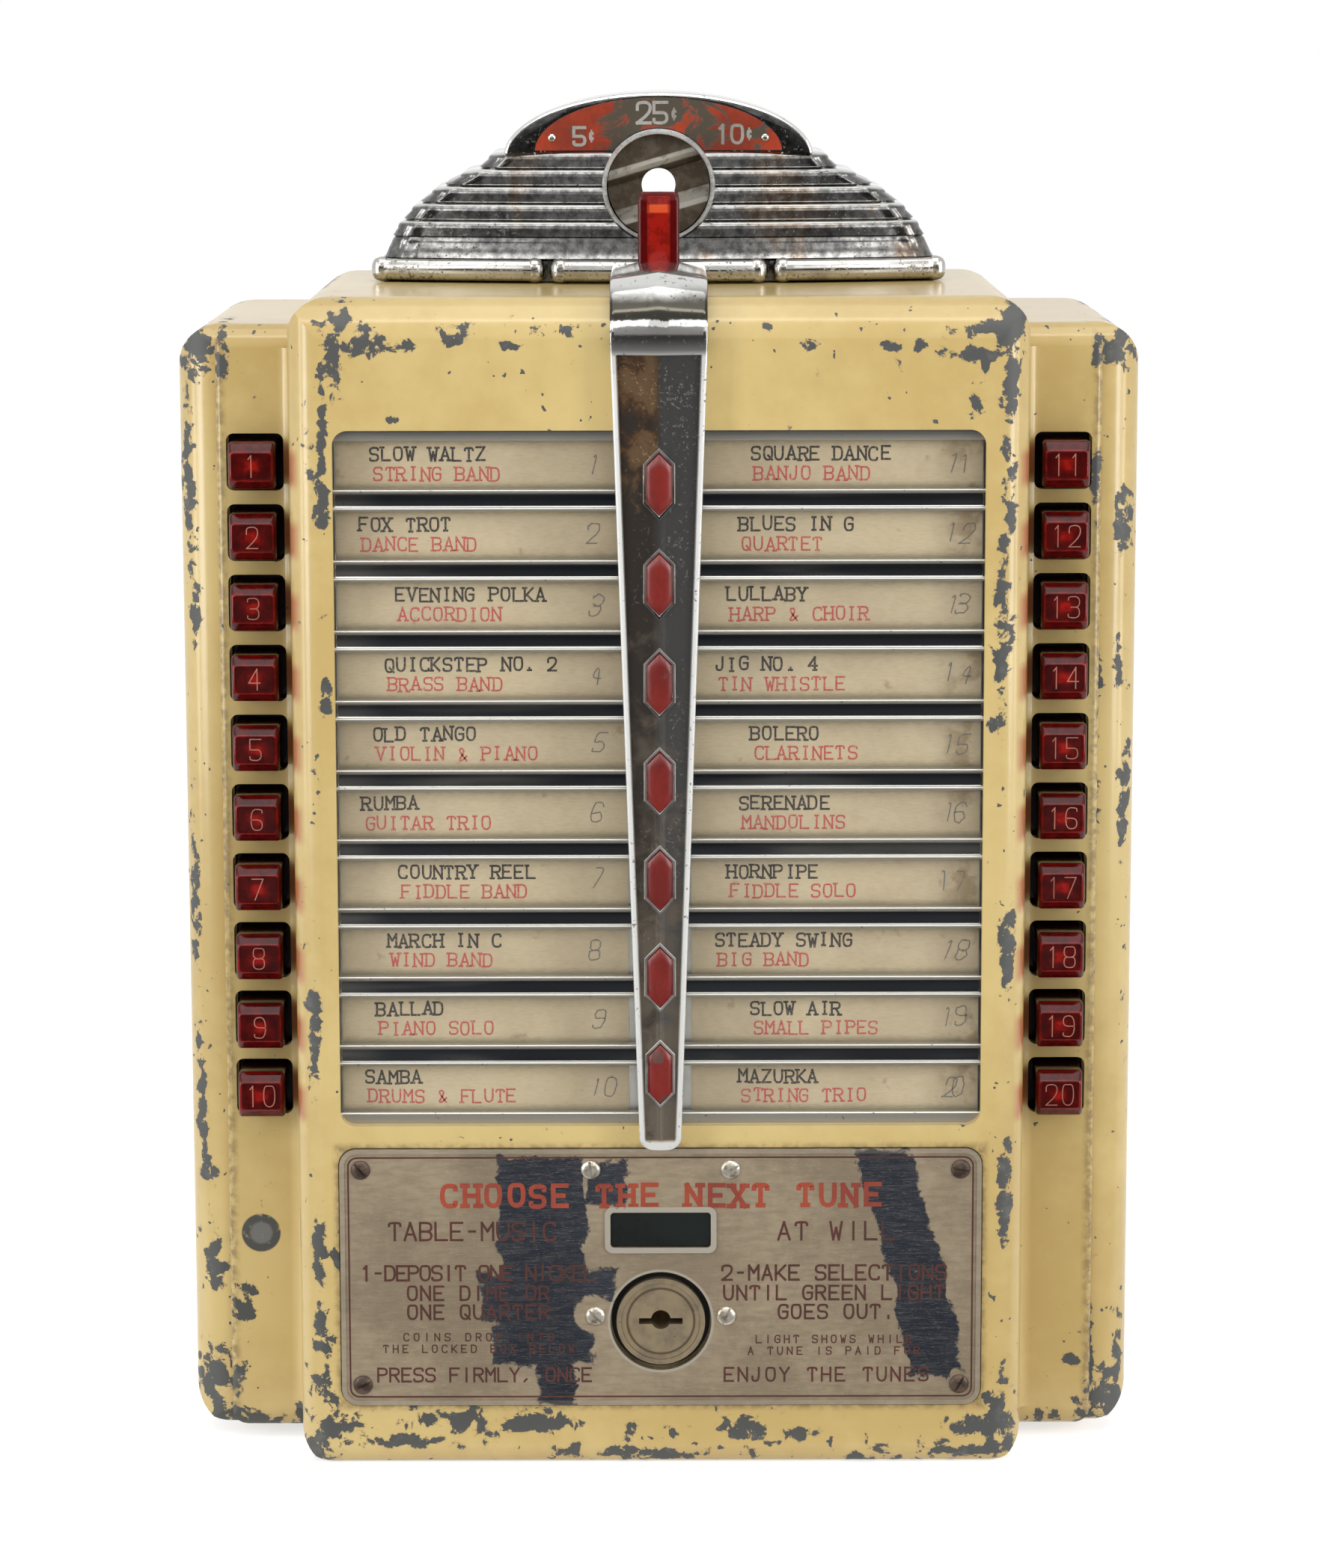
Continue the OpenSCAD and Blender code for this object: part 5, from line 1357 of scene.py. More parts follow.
def bumper_bar(shape, x0, x1, offset):
    """A bar along the head's bow with ends that turn back, and an upright post at each end.

    A rounded section is carried along the bow's circle, which lies the offset behind the
    head's front line, and round a quarter bend at each end. A post is a short body of
    revolution whose radius falls off with the cube of the height.
    """
    bow = settings("shape").bow
    bend = 2.4 * MM
    tail = 6 * MM

    def line_y(x):
        return HEAD_LINE + offset + bow - np.sqrt(bow ** 2 - x ** 2)

    turn = np.linspace(np.pi / 2, 0, 7)
    back = turn[::-1]
    run = np.linspace(x0 + bend, x1 - bend, 30)[1:-1]
    right = np.column_stack([x1 - bend + bend * np.cos(turn),
                             line_y(x1 - bend) + bend - bend * np.sin(turn)])
    left = np.column_stack([x0 + bend - bend * np.cos(back),
                            line_y(x0 + bend) + bend - bend * np.sin(back)])
    line = np.concatenate([[[x0, left[0, 1] + tail]], left, np.column_stack([run, line_y(run)]), right,
                           [[x1, right[-1, 1] + tail]]])
    path = np.column_stack([line, np.full(len(line), BAR_Z)])
    tube(shape, path, superellipse(2.3 * MM, 2.9 * MM, 2.2, 24), (0, 0, 1))
    post = np.linspace(-1, 1, 15)
    radius = (2.75 * MM * np.sqrt(np.clip(1 - np.abs(post) ** 3, 0, 1)) + 0.02 * MM)[:, None]
    angle = np.arange(28) * 2 * np.pi / 28
    height = np.repeat((BAR_Z + post * 3.4 * MM)[:, None], 28, axis=1)
    for x in (x0 + 0.7 * MM, x1 - 0.7 * MM):
        y = line_y(np.clip(x, x0 + bend, x1 - bend)) + 0.5 * MM
        loft(shape, np.stack([x + radius * np.cos(angle), y + radius * np.sin(angle), height], axis=-1))


def block_cutter(low, high):
    """A box-shaped body for a cut, from its two corners."""
    shape = Shape()
    outline = np.array([[low[0], low[2]], [high[0], low[2]], [high[0], high[2]], [low[0], high[2]]])
    loft(shape, [standing(outline, (0, 0), y) for y in (low[1], high[1])])
    return shape.make("cutter", FINISHES["head"])


def round_cutter(radius, y0, y1):
    """A cylinder on the dial's axis for a cut."""
    shape = Shape()
    lathe(shape, [(radius, y0), (radius, y1)], (DIAL_X, 0, DIAL_Z), 128)
    return shape.make("cutter", FINISHES["head"])


def make_head():
    """The head's body with a boss for the dial's ring, bored for the dial and its sight hole."""
    look = settings("shape")
    back_y = HEAD_HIGH[1]
    rings = []
    for z, half, setback in head_levels(look):
        xs, ys = head_loop(half, setback, look, back_y)
        rings.append(np.stack([xs, ys, np.full_like(xs, z)], axis=-1))
    body, boss = Shape(), Shape()
    loft(body, rings)
    head = body.make("coin_head_dressed", FINISHES["head"], 38)
    ring_back = RING_HIGH[1]
    ring = RING_HIGH[0] - DIAL_X + 0.05 * MM
    lathe(boss, [(ring - 0.3 * MM, ring_back), (ring, ring_back + 0.3 * MM),
                 (ring, ring_back + 14 * MM)], (DIAL_X, 0, DIAL_Z), 128)
    combine(head, "UNION", [boss.make("boss", FINISHES["head"])])
    before, behind = HEAD_LOW[1] - 5 * MM, back_y + 5 * MM
    combine(head, "DIFFERENCE", [
        round_cutter(ring + 0.05 * MM, before, ring_back), round_cutter(BORE, before, BORE_BACK),
        round_cutter(SIGHT, BORE_BACK - 1 * MM, behind),
        block_cutter((-BORE, FRONT_Y + 75 * MM, SHELL_HIGH[2] - 5 * MM), (BORE, BORE_BACK, DIAL_Z))])
    # The upright faces are marked for the head's painted dark reflection.
    mark_upright(head)
    settle(head, "cover", "chrome", "coin_head")
    make_crest(look, back_y)


def make_crest(look, back_y):
    """The crest with its seat for the value plate, cut off level at its foot."""
    crest = Shape()
    front = HEAD_LINE + look.crest_set
    crest_body(crest, look, front, back_y - 6 * MM)
    thing = crest.make("head_crest", FINISHES["head"], 38)
    behind = back_y + 5 * MM
    combine(thing, "DIFFERENCE", [
        value_recess(front), round_cutter(BORE, HEAD_LOW[1], BORE_BACK),
        round_cutter(SIGHT, BORE_BACK - 1 * MM, behind),
        block_cutter((-60 * MM, HEAD_LOW[1], HEAD_LOW[2]),
                     (60 * MM, behind, HEAD_HIGH[2] - look.crest - 0.4 * MM))])
    # The front face is marked upright, so it takes the head's painted dark reflection.
    mark_points(thing, "upright", points_of(thing)[:, 1] < front + 0.12 * MM)
    settle(thing, "cover", "chrome")


def make_bumpers():
    """The three bumper bars along the head's foot, and its two studs through the roof."""
    bars, studs = Shape(), Shape()
    bumper_bar(bars, -27.2 * MM, 27.2 * MM, -2.0 * MM)
    bumper_bar(bars, -76.0 * MM, -32.9 * MM, -0.9 * MM)
    bumper_bar(bars, 32.9 * MM, 76.0 * MM, -0.9 * MM)
    place_piece(bars, "head_bumpers", "bumper_chrome", 40, "chrome")
    angle = np.arange(24) * 2 * np.pi / 24
    radius, y = 2 * MM, FRONT_Y + 98 * MM
    for x in (-50 * MM, 50 * MM):
        loft(studs, [np.column_stack([x + radius * np.cos(angle), y + radius * np.sin(angle),
                                      np.full(24, z)]) for z in (HEAD_LOW[2], HEAD_LOW[2] + 9 * MM)])
    place_piece(studs, "head_studs", "steel", 30, "zinc_steel")


def value_recess(front):
    """The cut that seats the value plate in the crest, taken from the plate's own box."""
    low, high = node_box("value_plate")
    angle = np.linspace(0, np.pi, 61)
    foot = low[2]
    half = high[0] + 0.3 * MM
    rise = high[2] - foot + 0.3 * MM
    arch = np.stack([half * np.cos(angle), foot + rise * np.sin(angle)], axis=-1)
    arch = np.concatenate([arch, [[-half, foot - 3 * MM], [half, foot - 3 * MM]]])
    shape = Shape()
    loft(shape, [standing(arch, (0, 0), y) for y in (front - 3 * MM, high[1])])
    return shape.make("cutter", FINISHES["head"])


# The coin values: digits, their middle from the dial's axis across and up, and height in millimetres
VALUES = (("5", -19.8, 13.2, 4.7), ("25", 0.0, 19.5, 5.5), ("10", 21.0, 13.7, 4.7))


def make_value_letters():
    """The three coin values and two rivets on the value plate."""
    low, high = node_box("value_plate")
    front = low[1] - 0.05 * MM
    letters = Shape()
    for number, aside, rise, tall in VALUES:
        pitch = 0.82 * tall * MM
        start = DIAL_X + aside * MM - 0.5 * (len(number) * pitch + 2.4 * MM)
        foot = DIAL_Z + (rise - tall / 2) * MM
        write(letters, number, start, foot, front, tall * MM, pitch, 0.85 * MM, slim=0.95)
        write(letters, "¢", start + len(number) * pitch, foot + 0.9 * MM, front, 3.0 * MM, 2.4 * MM,
              0.45 * MM, slim=0.9)
    place_piece(letters, "value_numbers", "print_pale", 30, "value_enamel")
    rivets = Shape()
    angle = np.linspace(0, np.pi / 2, 7)
    dome = np.column_stack([np.sin(angle) * 1.1 * MM + 0.01 * MM, -0.6 * MM * np.cos(angle)])
    dome = np.concatenate([dome, [[1.1 * MM, 0.3 * MM]]])
    for x in (low[0] + 4.6 * MM, high[0] - 4.6 * MM):
        lathe(rivets, dome, (x, low[1], low[2] + 3.4 * MM), 24)
    place_piece(rivets, "value_rivets", "bumper_chrome", 40, "chrome")


# ---- pilaster

PIL_PROUD = 6.8 * MM
PIL_FALL = 1.9 * MM
PIL_TOP_X = 12.6 * MM
PIL_LOW_X = 5.6 * MM
ROOF_Z = SHELL_HIGH[2]
TURN_R = 10.5 * MM
END_R = 3.0 * MM
CELLS = 7


def pilaster_half(z):
    """Half-width of the strip at a height on the front: a straight taper."""
    low, high = PILASTER_LOW[2] + PIL_LOW_X, ROOF_Z - TURN_R
    return PIL_LOW_X + (PIL_TOP_X - PIL_LOW_X) * (z - low) / (high - low)


def gable_height(x):
    """Height of the gabled face over the case: it falls evenly from the ridge."""
    return PIL_PROUD - PIL_FALL * np.abs(x) / PIL_TOP_X


def pilaster_section(half, sunk, look):
    """Half section from the ridge outwards as (x, height), and which points lie in the sunk panel."""
    rim_in = half - look.rim
    x = np.array([0.0, 0.25 * rim_in, 0.5 * rim_in, 0.75 * rim_in, rim_in - 0.3 * MM, rim_in,
                  rim_in + 0.2 * MM, half - 0.55 * MM, half - 0.16 * MM, half, half])
    h = gable_height(x)
    h[:5] -= sunk
    h[5] -= 0.35 * sunk
    h[8] -= 0.16 * MM
    h[9] -= 0.6 * MM
    h[10] = 0.0
    floor = np.array([1.0] * 5 + [0.4] + [0.0] * 5) * (sunk > 0)
    return x, h, floor


def pilaster_stations(look):
    """Stations along the strip as (run, place, half-width, sunk depth): up the front, round, back."""
    foot = PILASTER_LOW[2]
    corner = ROOF_Z - TURN_R
    stations = []
    for t in np.linspace(0.0, 1.0, 8):
        z = foot + END_R * (1 - math.cos(t * math.pi / 2))
        width = pilaster_half(z) - END_R + END_R * math.sin(t * math.pi / 2)
        stations.append(("front", z, width, 0.0))
    panel_foot = foot + 2.0 * MM
    panel_top = corner - 3.6 * MM
    stations = [entry for entry in stations if entry[1] < panel_foot - 0.2 * MM]
    for z, sunk in ((panel_foot, 0.0), (panel_foot + 0.35 * MM, look.recess)):
        inset = END_R - (z - foot)
        cut = END_R - math.sqrt(max(END_R ** 2 - inset ** 2, 0.0)) if inset > 0 else 0.0
        stations.append(("front", z, pilaster_half(z) - cut, sunk))
    for z in np.linspace(foot + END_R, panel_top - 0.4 * MM, 40):
        stations.append(("front", z, pilaster_half(z), look.recess))
    stations.append(("front", panel_top, pilaster_half(panel_top), 0.0))
    stations.append(("front", corner, PIL_TOP_X, 0.0))
    for t in np.linspace(0, 1, 17)[1:]:
        stations.append(("turn", t * math.pi / 2, PIL_TOP_X, 0.0))
    for y in np.linspace(FRONT_Y + TURN_R, PILASTER_HIGH[1], 6)[1:]:
        stations.append(("roof", y, PIL_TOP_X, 0.0))
    return stations


def make_pilaster():
    """Sweeps the gabled strip up the front, round the block's edge and back over the roof."""
    look = settings("shape")
    rings, floors = [], []
    for run, place, half, sunk in pilaster_stations(look):
        x, h, floor = pilaster_section(half, sunk, look)
        xs = np.concatenate([-x[::-1], x[1:]])
        hs = np.concatenate([h[::-1], h[1:]])
        floors.append(np.concatenate([floor[::-1], floor[1:]]))
        if run == "front":
            ring = np.column_stack([xs, FRONT_Y - hs, np.full_like(xs, place)])
        elif run == "turn":
            ring = np.column_stack([xs, FRONT_Y + TURN_R - (TURN_R + hs) * math.cos(place),
                                    ROOF_Z - TURN_R + (TURN_R + hs) * math.sin(place)])
        else:
            ring = np.column_stack([xs, np.full_like(xs, place), ROOF_Z + hs])
        rings.append(ring)
    body = Shape()
    loft(body, np.array(rings))
    place_piece(body, "pilaster_dressed", "pilaster", 32, "chrome", "pilaster", "pilaster_enamels",
                sunk=np.concatenate(floors))


def mark_points(thing, name, values):
    """Stores a number on every point of the mesh for its material: 0 on those past the last value."""
    values = np.asarray(values, np.float32)
    layer = thing.data.attributes.new(name, "FLOAT", "POINT")
    layer.data.foreach_set("value", np.pad(values, (0, len(thing.data.vertices) - len(values))))


def points_of(thing):
    """The points of a mesh as an array of rows."""
    flat = np.empty(3 * len(thing.data.vertices), np.float32)
    thing.data.vertices.foreach_get("co", flat)
    return flat.reshape(-1, 3)


def mark_upright(thing):
    """Marks each point by how upright the surface is there: 1 on a wall, 0 on a ledge."""
    flat = np.empty(3 * len(thing.data.vertices), np.float32)
    thing.data.vertices.foreach_get("normal", flat)
    level = flat.reshape(-1, 3)[:, 2]
    mark_points(thing, "upright", np.clip((0.84 - level) / 0.26, 0, 1))


def make_cells():
    """Seven raised long cells folded over the ridge: bright frames and domed red fills."""
    look = settings("shape")
    frames, fills = Shape(), Shape()
    foot = PILASTER_LOW[2] + 20.2 * MM
    pitch = 25.9 * MM
    tall = 9.3 * MM
    for k in range(CELLS):
        z = foot + k * pitch
        wide = min(4.1 * MM, pilaster_half(z - tall) - look.rim - 0.4 * MM)
        lift = PIL_PROUD - look.recess
        outline = np.array([[0, -tall], [wide, wide - tall], [wide, tall - wide], [0, tall],
                            [-wide, tall - wide], [-wide, wide - tall]])
        outline[:, 0] *= 1 - 0.4 * MM / wide
        outline[:, 1] *= 1 - 0.5 * MM / tall
        rise = lift - PIL_FALL * np.abs(outline[:, 0]) / PIL_TOP_X + 0.15 * MM
        path = np.column_stack([outline[:, 0], FRONT_Y - rise, z + outline[:, 1]])
        section = np.array([[-0.42, -0.5], [0.42, -0.5], [0.42, 0.35], [0.24, 0.58], [-0.24, 0.58],
                            [-0.42, 0.35]]) * MM
        tube(frames, path, section, (0, -1, 0), closed=True)
        inner = wide - 0.75 * MM
        rings = []
        for share_x in (-1.0, -0.86, -0.5, -0.02, 0.02, 0.5, 0.86, 1.0):
            x = share_x * inner
            reach = tall - 1.1 * MM - abs(x)
            base = lift - PIL_FALL * abs(x) / PIL_TOP_X
            dome = 0.45 * MM * (1 - abs(share_x) ** 6)
            spans = np.array([-1.0, -1.0, -0.94, -0.5, 0.0, 0.5, 0.94, 1.0, 1.0]) * reach
            rises = base + np.array([-0.3 * MM, 0, 0.8 * dome, dome, dome, dome, 0.8 * dome, 0,
                                     -0.3 * MM])
            rings.append(np.column_stack([np.full(9, x), FRONT_Y - rises, z + spans]))
        loft(fills, np.array(rings))
    place_piece(frames, "cell_frames", "chrome", 30, "chrome")
    place_piece(fills, "cell_fills", "red_enamel", 50, "red_enamel")


def make_jewel():
    """Upright clear prism with a bevelled front and a face let into it, brightened by painted light: a
    painted glow on the face, a brighter top bevel and a painted orange glint near the top.
    """
    low, high = node_box("jewel")
    half_w, half_d = 0.5 * (high[0] - low[0]), 0.5 * (high[1] - low[1])
    mid = 0.5 * (low + high)
    body = Shape()
    rings, heart = [], []
    levels = [(0.0, 1.0), (0.90, 1.0), (0.955, 0.97), (0.99, 0.90), (1.0, 0.80)]
    for level, size in levels:
        outline = rounded_rectangle(half_w * size, half_d * size, 1.1 * MM * size, 5)
        z = low[2] + level * (high[2] - low[2])
        rings.append(np.column_stack([mid[0] + outline[:, 0], mid[1] + outline[:, 1],
                                      np.full(len(outline), z)]))
        front = np.clip(-outline[:, 1] / half_d, 0, 1)
        # Painted light: a little on the front, more on the top bevel.
        heart.append(0.02 + 0.03 * front + 0.2 * (level > 0.96))
    loft(body, np.array(rings))
    place_piece(body, "jewel_dressed", "jewel", 35, "red_plastic", "jewel", heart=np.concatenate(heart))
    face = Shape()
    rings, heart = [], []
    tall = high[2] - low[2]
    # Painted light on the face: brightest along its front edge and in its middle.
    for size, out, glow in ((1.0, -0.25, 0.3), (1.0, 0.06, 1.3), (0.94, 0.10, 0.5), (0.90, 0.20, 0.8),
                            (0.5, 0.22, 1.0)):
        outline = rounded_rectangle(half_w * 0.55 * size, tall * 0.43 * size, 0.5 * MM * size, 4)
        rings.append(standing(outline, (mid[0], mid[2] + 0.6 * MM), low[1] - out * MM))
        heart.append(np.full(len(outline), glow))
    loft(face, np.array(rings))
    place_piece(face, "jewel_face", "jewel", 30, "red_plastic", heart=np.concatenate(heart))


# ---- buttons


def cap_rings(front, middle, look):
    """Rings of a cap from the middle of its front face, over the bevels, back to the flange.

    Each step is the half-width, the half-height, the depth and the share of painted light: a painted
    glow in the middle of the face and painted highlights at the bevels' edges.
    """
    steps = [
        (0.10, 0.10, 0.00, 1.00), (1.00, 0.90, 0.00, 0.85), (2.20, 1.60, 0.00, 0.30),
        (3.60, 2.40, 0.00, 0.16), (4.60, 3.10, 0.00, 0.14), (5.10, 3.45, 0.00, 0.20),
        (5.42, 3.70, 0.10, 0.75), (5.70, 3.92, 0.30, 0.32), (5.90, 4.35, 0.75, 0.22),
        (6.05, 5.20, 1.55, 0.26), (6.12, 5.70, 2.10, 0.20), (6.15, 5.98, 2.45, 0.45),
        (6.15, 6.12, 2.85, 0.12), (6.15, 6.15, 3.40, 0.03), (6.15, 6.15, 8.00, 0.0),
        (6.15, 6.15, 19.3, 0.0)]
    rings, heart = [], []
    for half_x, half_z, back, glow in steps:
        radius = min(look.corner / MM, 0.6 * min(half_x, half_z)) * MM
        outline = rounded_rectangle(half_x * MM, half_z * MM, radius, 5)
        rings.append(standing(outline, middle, front + back * MM))
        heart.append(np.full(len(outline), glow))
    return np.array(rings), np.concatenate(heart)


def make_buttons():
    """Twenty caps with flange, stem and collar, and the number on each."""
    look = settings("plastic")
    for number in range(1, BUTTONS + 1):
        node = "button_%02d" % number
        low, high = node_box(node)
        middle = 0.5 * (low[0] + high[0]), 0.5 * (low[2] + high[2])
        axis = (middle[0], low[1], middle[1])
        rings, heart = cap_rings(low[1], middle, look)
        body = Shape()
        loft(body, rings)
        flange = rounded_rectangle(0.5 * (high[0] - low[0]), 0.5 * (high[2] - low[2]), 0.8 * MM, 4)
        flange_y = low[1] + 19.4 * MM
        loft(body, [standing(flange * size, middle, flange_y + back * MM)
                    for back, size in ((0, 0.98), (0.2, 1.0), (1.8, 1.0), (2, 0.98))])
        depth = (high[1] - low[1]) / MM
        lathe(body, np.array([[2.0, 21.4], [2.0, depth - 0.4], [1.6, depth]]) * MM, axis, 24)
        lathe(body, np.array([[3.2, 26.5], [3.5, 26.8], [3.5, 27.4], [3.2, 27.7]]) * MM, axis, 24)
        rides = "push_%02d" % number
        place_piece(body, node + "_dressed", "button", 35, "red_plastic", node, body=rides, heart=heart)
        figures = Shape()
        write(figures, str(number), middle[0], middle[1] - look.digit / 2, low[1] - 0.03 * MM,
              look.digit, 0.78 * look.digit, 0.27 * MM, slim=0.78, anchor="middle", depth=0.08 * MM)
        place_piece(figures, node + "_number", "number", 30, "red_plastic", body=rides)


# ---- title panel


def make_rails():
    """Chromed cross rails with a bead along each edge, their frame and the middle stile."""
    rows_z = card_rows()
    pitch = rows_z[0] - rows_z[1]
    gap = 12.6 * MM
    half = 0.5 * (pitch - gap)
    front, back = RAILS_LOW[1], RAILS_HIGH[1]
    low_x, high_x = RAILS_LOW[0] + 1 * MM, RAILS_HIGH[0] - 1 * MM
    bars = Shape()
    turn = np.linspace(0, np.pi, 7)
    bead = 0.55 * MM
    top_bead = np.column_stack([front + bead - bead * np.sin(turn), half - bead + bead * np.cos(turn)])
    web = np.array([[front + 0.75 * MM, half - 2.6 * bead], [front + 0.62 * MM, 0.0],
                    [front + 0.75 * MM, -half + 2.6 * bead]])
    low_bead = np.column_stack([front + bead - bead * np.sin(turn), -half + bead + bead * np.cos(turn)])
    section = np.concatenate([[[back, half]], top_bead, web, low_bead, [[back, -half]]])
    for k in range(ROWS - 1):
        z = 0.5 * (rows_z[k] + rows_z[k + 1])
        rings = np.stack([np.column_stack([np.full(len(section), x), section[:, 0], z + section[:, 1]])
                          for x in (low_x, high_x)])
        loft(bars, rings)
    for x0, x1 in ((RAILS_LOW[0], RAILS_LOW[0] + 3 * MM), (RAILS_HIGH[0] - 3 * MM, RAILS_HIGH[0]),
                   (-1.5 * MM, 1.5 * MM)):
        slab(bars, (x0, front + 0.6 * MM, RAILS_LOW[2]), (x1, back, RAILS_HIGH[2]), 0.2 * MM)
    for z0, z1 in ((RAILS_LOW[2], rows_z[-1] - gap / 2), (rows_z[0] + gap / 2, RAILS_HIGH[2])):
        slab(bars, (RAILS_LOW[0], front, z0), (RAILS_HIGH[0], back, z1), 0.3 * MM)
    panel = bars.make("title_rails_dressed", FINISHES["rail_chrome"], 35)
    # The webs and the top slab are marked for the rails' painted dark reflection.
    depth = points_of(panel)[:, 1] - front
    above = points_of(panel)[:, 2] > rows_z[0] + gap / 2 + 0.5 * MM
    mark_points(panel, "web", ((depth > 0.58 * MM) & (depth < 0.8 * MM)) | above)
    settle(panel, "cover", "chrome", "title_rails")


def slab(shape, low, high, bevel):
    """A plate whose front edges are bevelled."""
    rings = []
    for y, inset in ((low[1], bevel), (low[1] + bevel, 0.0), (high[1], 0.0)):
        rings.append([[low[0] + inset, y, low[2] + inset], [high[0] - inset, y, low[2] + inset],
                      [high[0] - inset, y, high[2] - inset], [low[0] + inset, y, high[2] - inset]])
    loft(shape, np.array(rings))


def card_rows():
    """Heights of the title rows, from the top down."""
    return np.linspace(CARDS_HIGH[2] - CARD_TALL / 2, CARDS_LOW[2] + CARD_TALL / 2, ROWS)


# Dances and kinds of band for the cards, from the top down: upper line, lower line
LEFT_TITLES = [
    ("SLOW WALTZ", "STRING BAND"), ("FOX TROT", "DANCE BAND"), ("EVENING POLKA", "ACCORDION"),
    ("QUICKSTEP NO. 2", "BRASS BAND"), ("OLD TANGO", "VIOLIN & PIANO"), ("RUMBA", "GUITAR TRIO"),
    ("COUNTRY REEL", "FIDDLE BAND"), ("MARCH IN C", "WIND BAND"), ("BALLAD", "PIANO SOLO"),
    ("SAMBA", "DRUMS & FLUTE"),
]
RIGHT_TITLES = [
    ("SQUARE DANCE", "BANJO BAND"), ("BLUES IN G", "QUARTET"), ("LULLABY", "HARP & CHOIR"),
    ("JIG NO. 4", "TIN WHISTLE"), ("BOLERO", "CLARINETS"), ("SERENADE", "MANDOLINS"),
    ("HORNPIPE", "FIDDLE SOLO"), ("STEADY SWING", "BIG BAND"), ("SLOW AIR", "SMALL PIPES"),
    ("MAZURKA", "STRING TRIO"),
]


def make_card_lettering():
    """Typed black and red lines and pencilled numbers on the cards."""
    look = settings("paper")
    black, red, pencil = Shape(), Shape(), Shape()
    front = CARDS_LOW[1] - 0.02 * MM
    columns = ((CARDS_LOW[0], LEFT_TITLES, 1), (CARDS_HIGH[0] - CARD_LONG, RIGHT_TITLES, 11))
    for start, titles, first in columns:
        for k, z in enumerate(card_rows()):
            upper, lower = titles[k]
            seed = 10 * first + k
            indent = (6.5 + 3.1 * ((3 * k + first) % 4)) * MM
            write(black, upper, start + indent, z + 0.9 * MM, front, look.letter, look.pitch,
                  look.stroke, "typed", seed, slim=0.92)
            write(red, lower, start + indent + 0.8 * MM, z - 4.3 * MM, front, look.letter, look.pitch,
                  0.85 * look.stroke, "typed", seed + 100, slim=0.92)
            write(pencil, str(first + k), start + 66 * MM, z - 2.4 * MM, front, 5.2 * MM, 3.4 * MM,
                  0.34 * MM, "pencil", seed + 200, slim=0.8)
    place_piece(black, "card_black_lines", "ink", 30, "card")
    place_piece(red, "card_red_lines", "red_ink", 30, "card")
    place_piece(pencil, "card_numbers", "pencil", 30, "card")


# ---- name plate

# Lines of the plate as text, middle x, foot z, height, pitch and weight in millimetres
PLATE_HEADING = [("CHOOSE THE NEXT TUNE", 0, 71.6, 5.5, 5.9, 1.25)]
PLATE_ROWS = [
    ("TABLE-MUSIC", -50, 62.3, 4.7, 4.1, 0.62), ("AT WILL", 46.5, 62.3, 4.7, 4.6, 0.62),
    ("1-DEPOSIT ONE NICKEL", -48.5, 51.3, 3.9, 3.12, 0.62),
    ("2-MAKE SELECTIONS", 46, 51.3, 3.9, 3.55, 0.62),
    ("ONE DIME OR", -48.5, 45.9, 3.7, 3.5, 0.60), ("UNTIL GREEN LIGHT", 46, 45.9, 3.7, 3.5, 0.60),
    ("ONE QUARTER", -48.5, 40.7, 3.7, 3.5, 0.60), ("GOES OUT.", 46.5, 40.7, 3.7, 3.5, 0.60),
    ("COINS DROP INTO", -48.5, 34.7, 2.0, 2.75, 0.34), ("LIGHT SHOWS WHILE", 46, 34.0, 2.0, 2.5, 0.34),
    ("THE LOCKED BOX BELOW", -48.5, 31.5, 2.0, 2.6, 0.34),
    ("A TUNE IS PAID FOR", 46, 30.8, 2.0, 2.6, 0.34),
    ("PRESS FIRMLY, ONCE", -47, 23.5, 3.6, 3.2, 0.55), ("ENJOY THE TUNES", 44, 23.5, 3.6, 3.7, 0.55),
]


def make_plate_lettering():
    """Printed lines and the thin border line of the name plate."""
    front = PLATE_LOW[1] + 0.5 * MM - 0.03 * MM
    bold, brown, line = Shape(), Shape(), Shape()
    for rows, target, style in ((PLATE_HEADING, bold, "typed"), (PLATE_ROWS, brown, "plain")):
        for words, x, z, height, pitch, weight in rows:
            write(target, words, x * MM, z * MM, front, height * MM, pitch * MM, weight * MM, style,
                  anchor="middle", slim=0.95)
    middle = 0.5 * (PLATE_LOW + PLATE_HIGH)
    inset = 2.3 * MM
    outline = rounded_rectangle(PLATE_HIGH[0] - middle[0] - inset, PLATE_HIGH[2] - middle[2] - inset,
                                2.4 * MM, 8)
    section = np.array([[-0.22, -0.02], [0.22, -0.02], [0.22, 0.03], [-0.22, 0.03]]) * MM
    tube(line, standing(outline, (middle[0], middle[2]), front), section, (0, -1, 0), closed=True)
    place_piece(bold, "plate_heading", "print_red", 30, "nickel")
    place_piece(brown, "plate_lines", "print_brown", 30, "nickel")
    place_piece(line, "plate_border", "print_brown", 30, "nickel")


def screw_places():
    """The plate's screws, from the plate's corners, beside the indicator and beside the lock."""
    edge = 5.6 * MM
    corners = [(x, z) for x in (PLATE_LOW[0] + edge, PLATE_HIGH[0] - edge)
               for z in (PLATE_LOW[2] + edge, PLATE_HIGH[2] - edge)]
    beside = [(-18.5 * MM, PLATE_HIGH[2] - edge), (18.5 * MM, PLATE_HIGH[2] - edge),
              (-17.4 * MM, 41.4 * MM), (17.4 * MM, 41.4 * MM)]
    return corners + beside


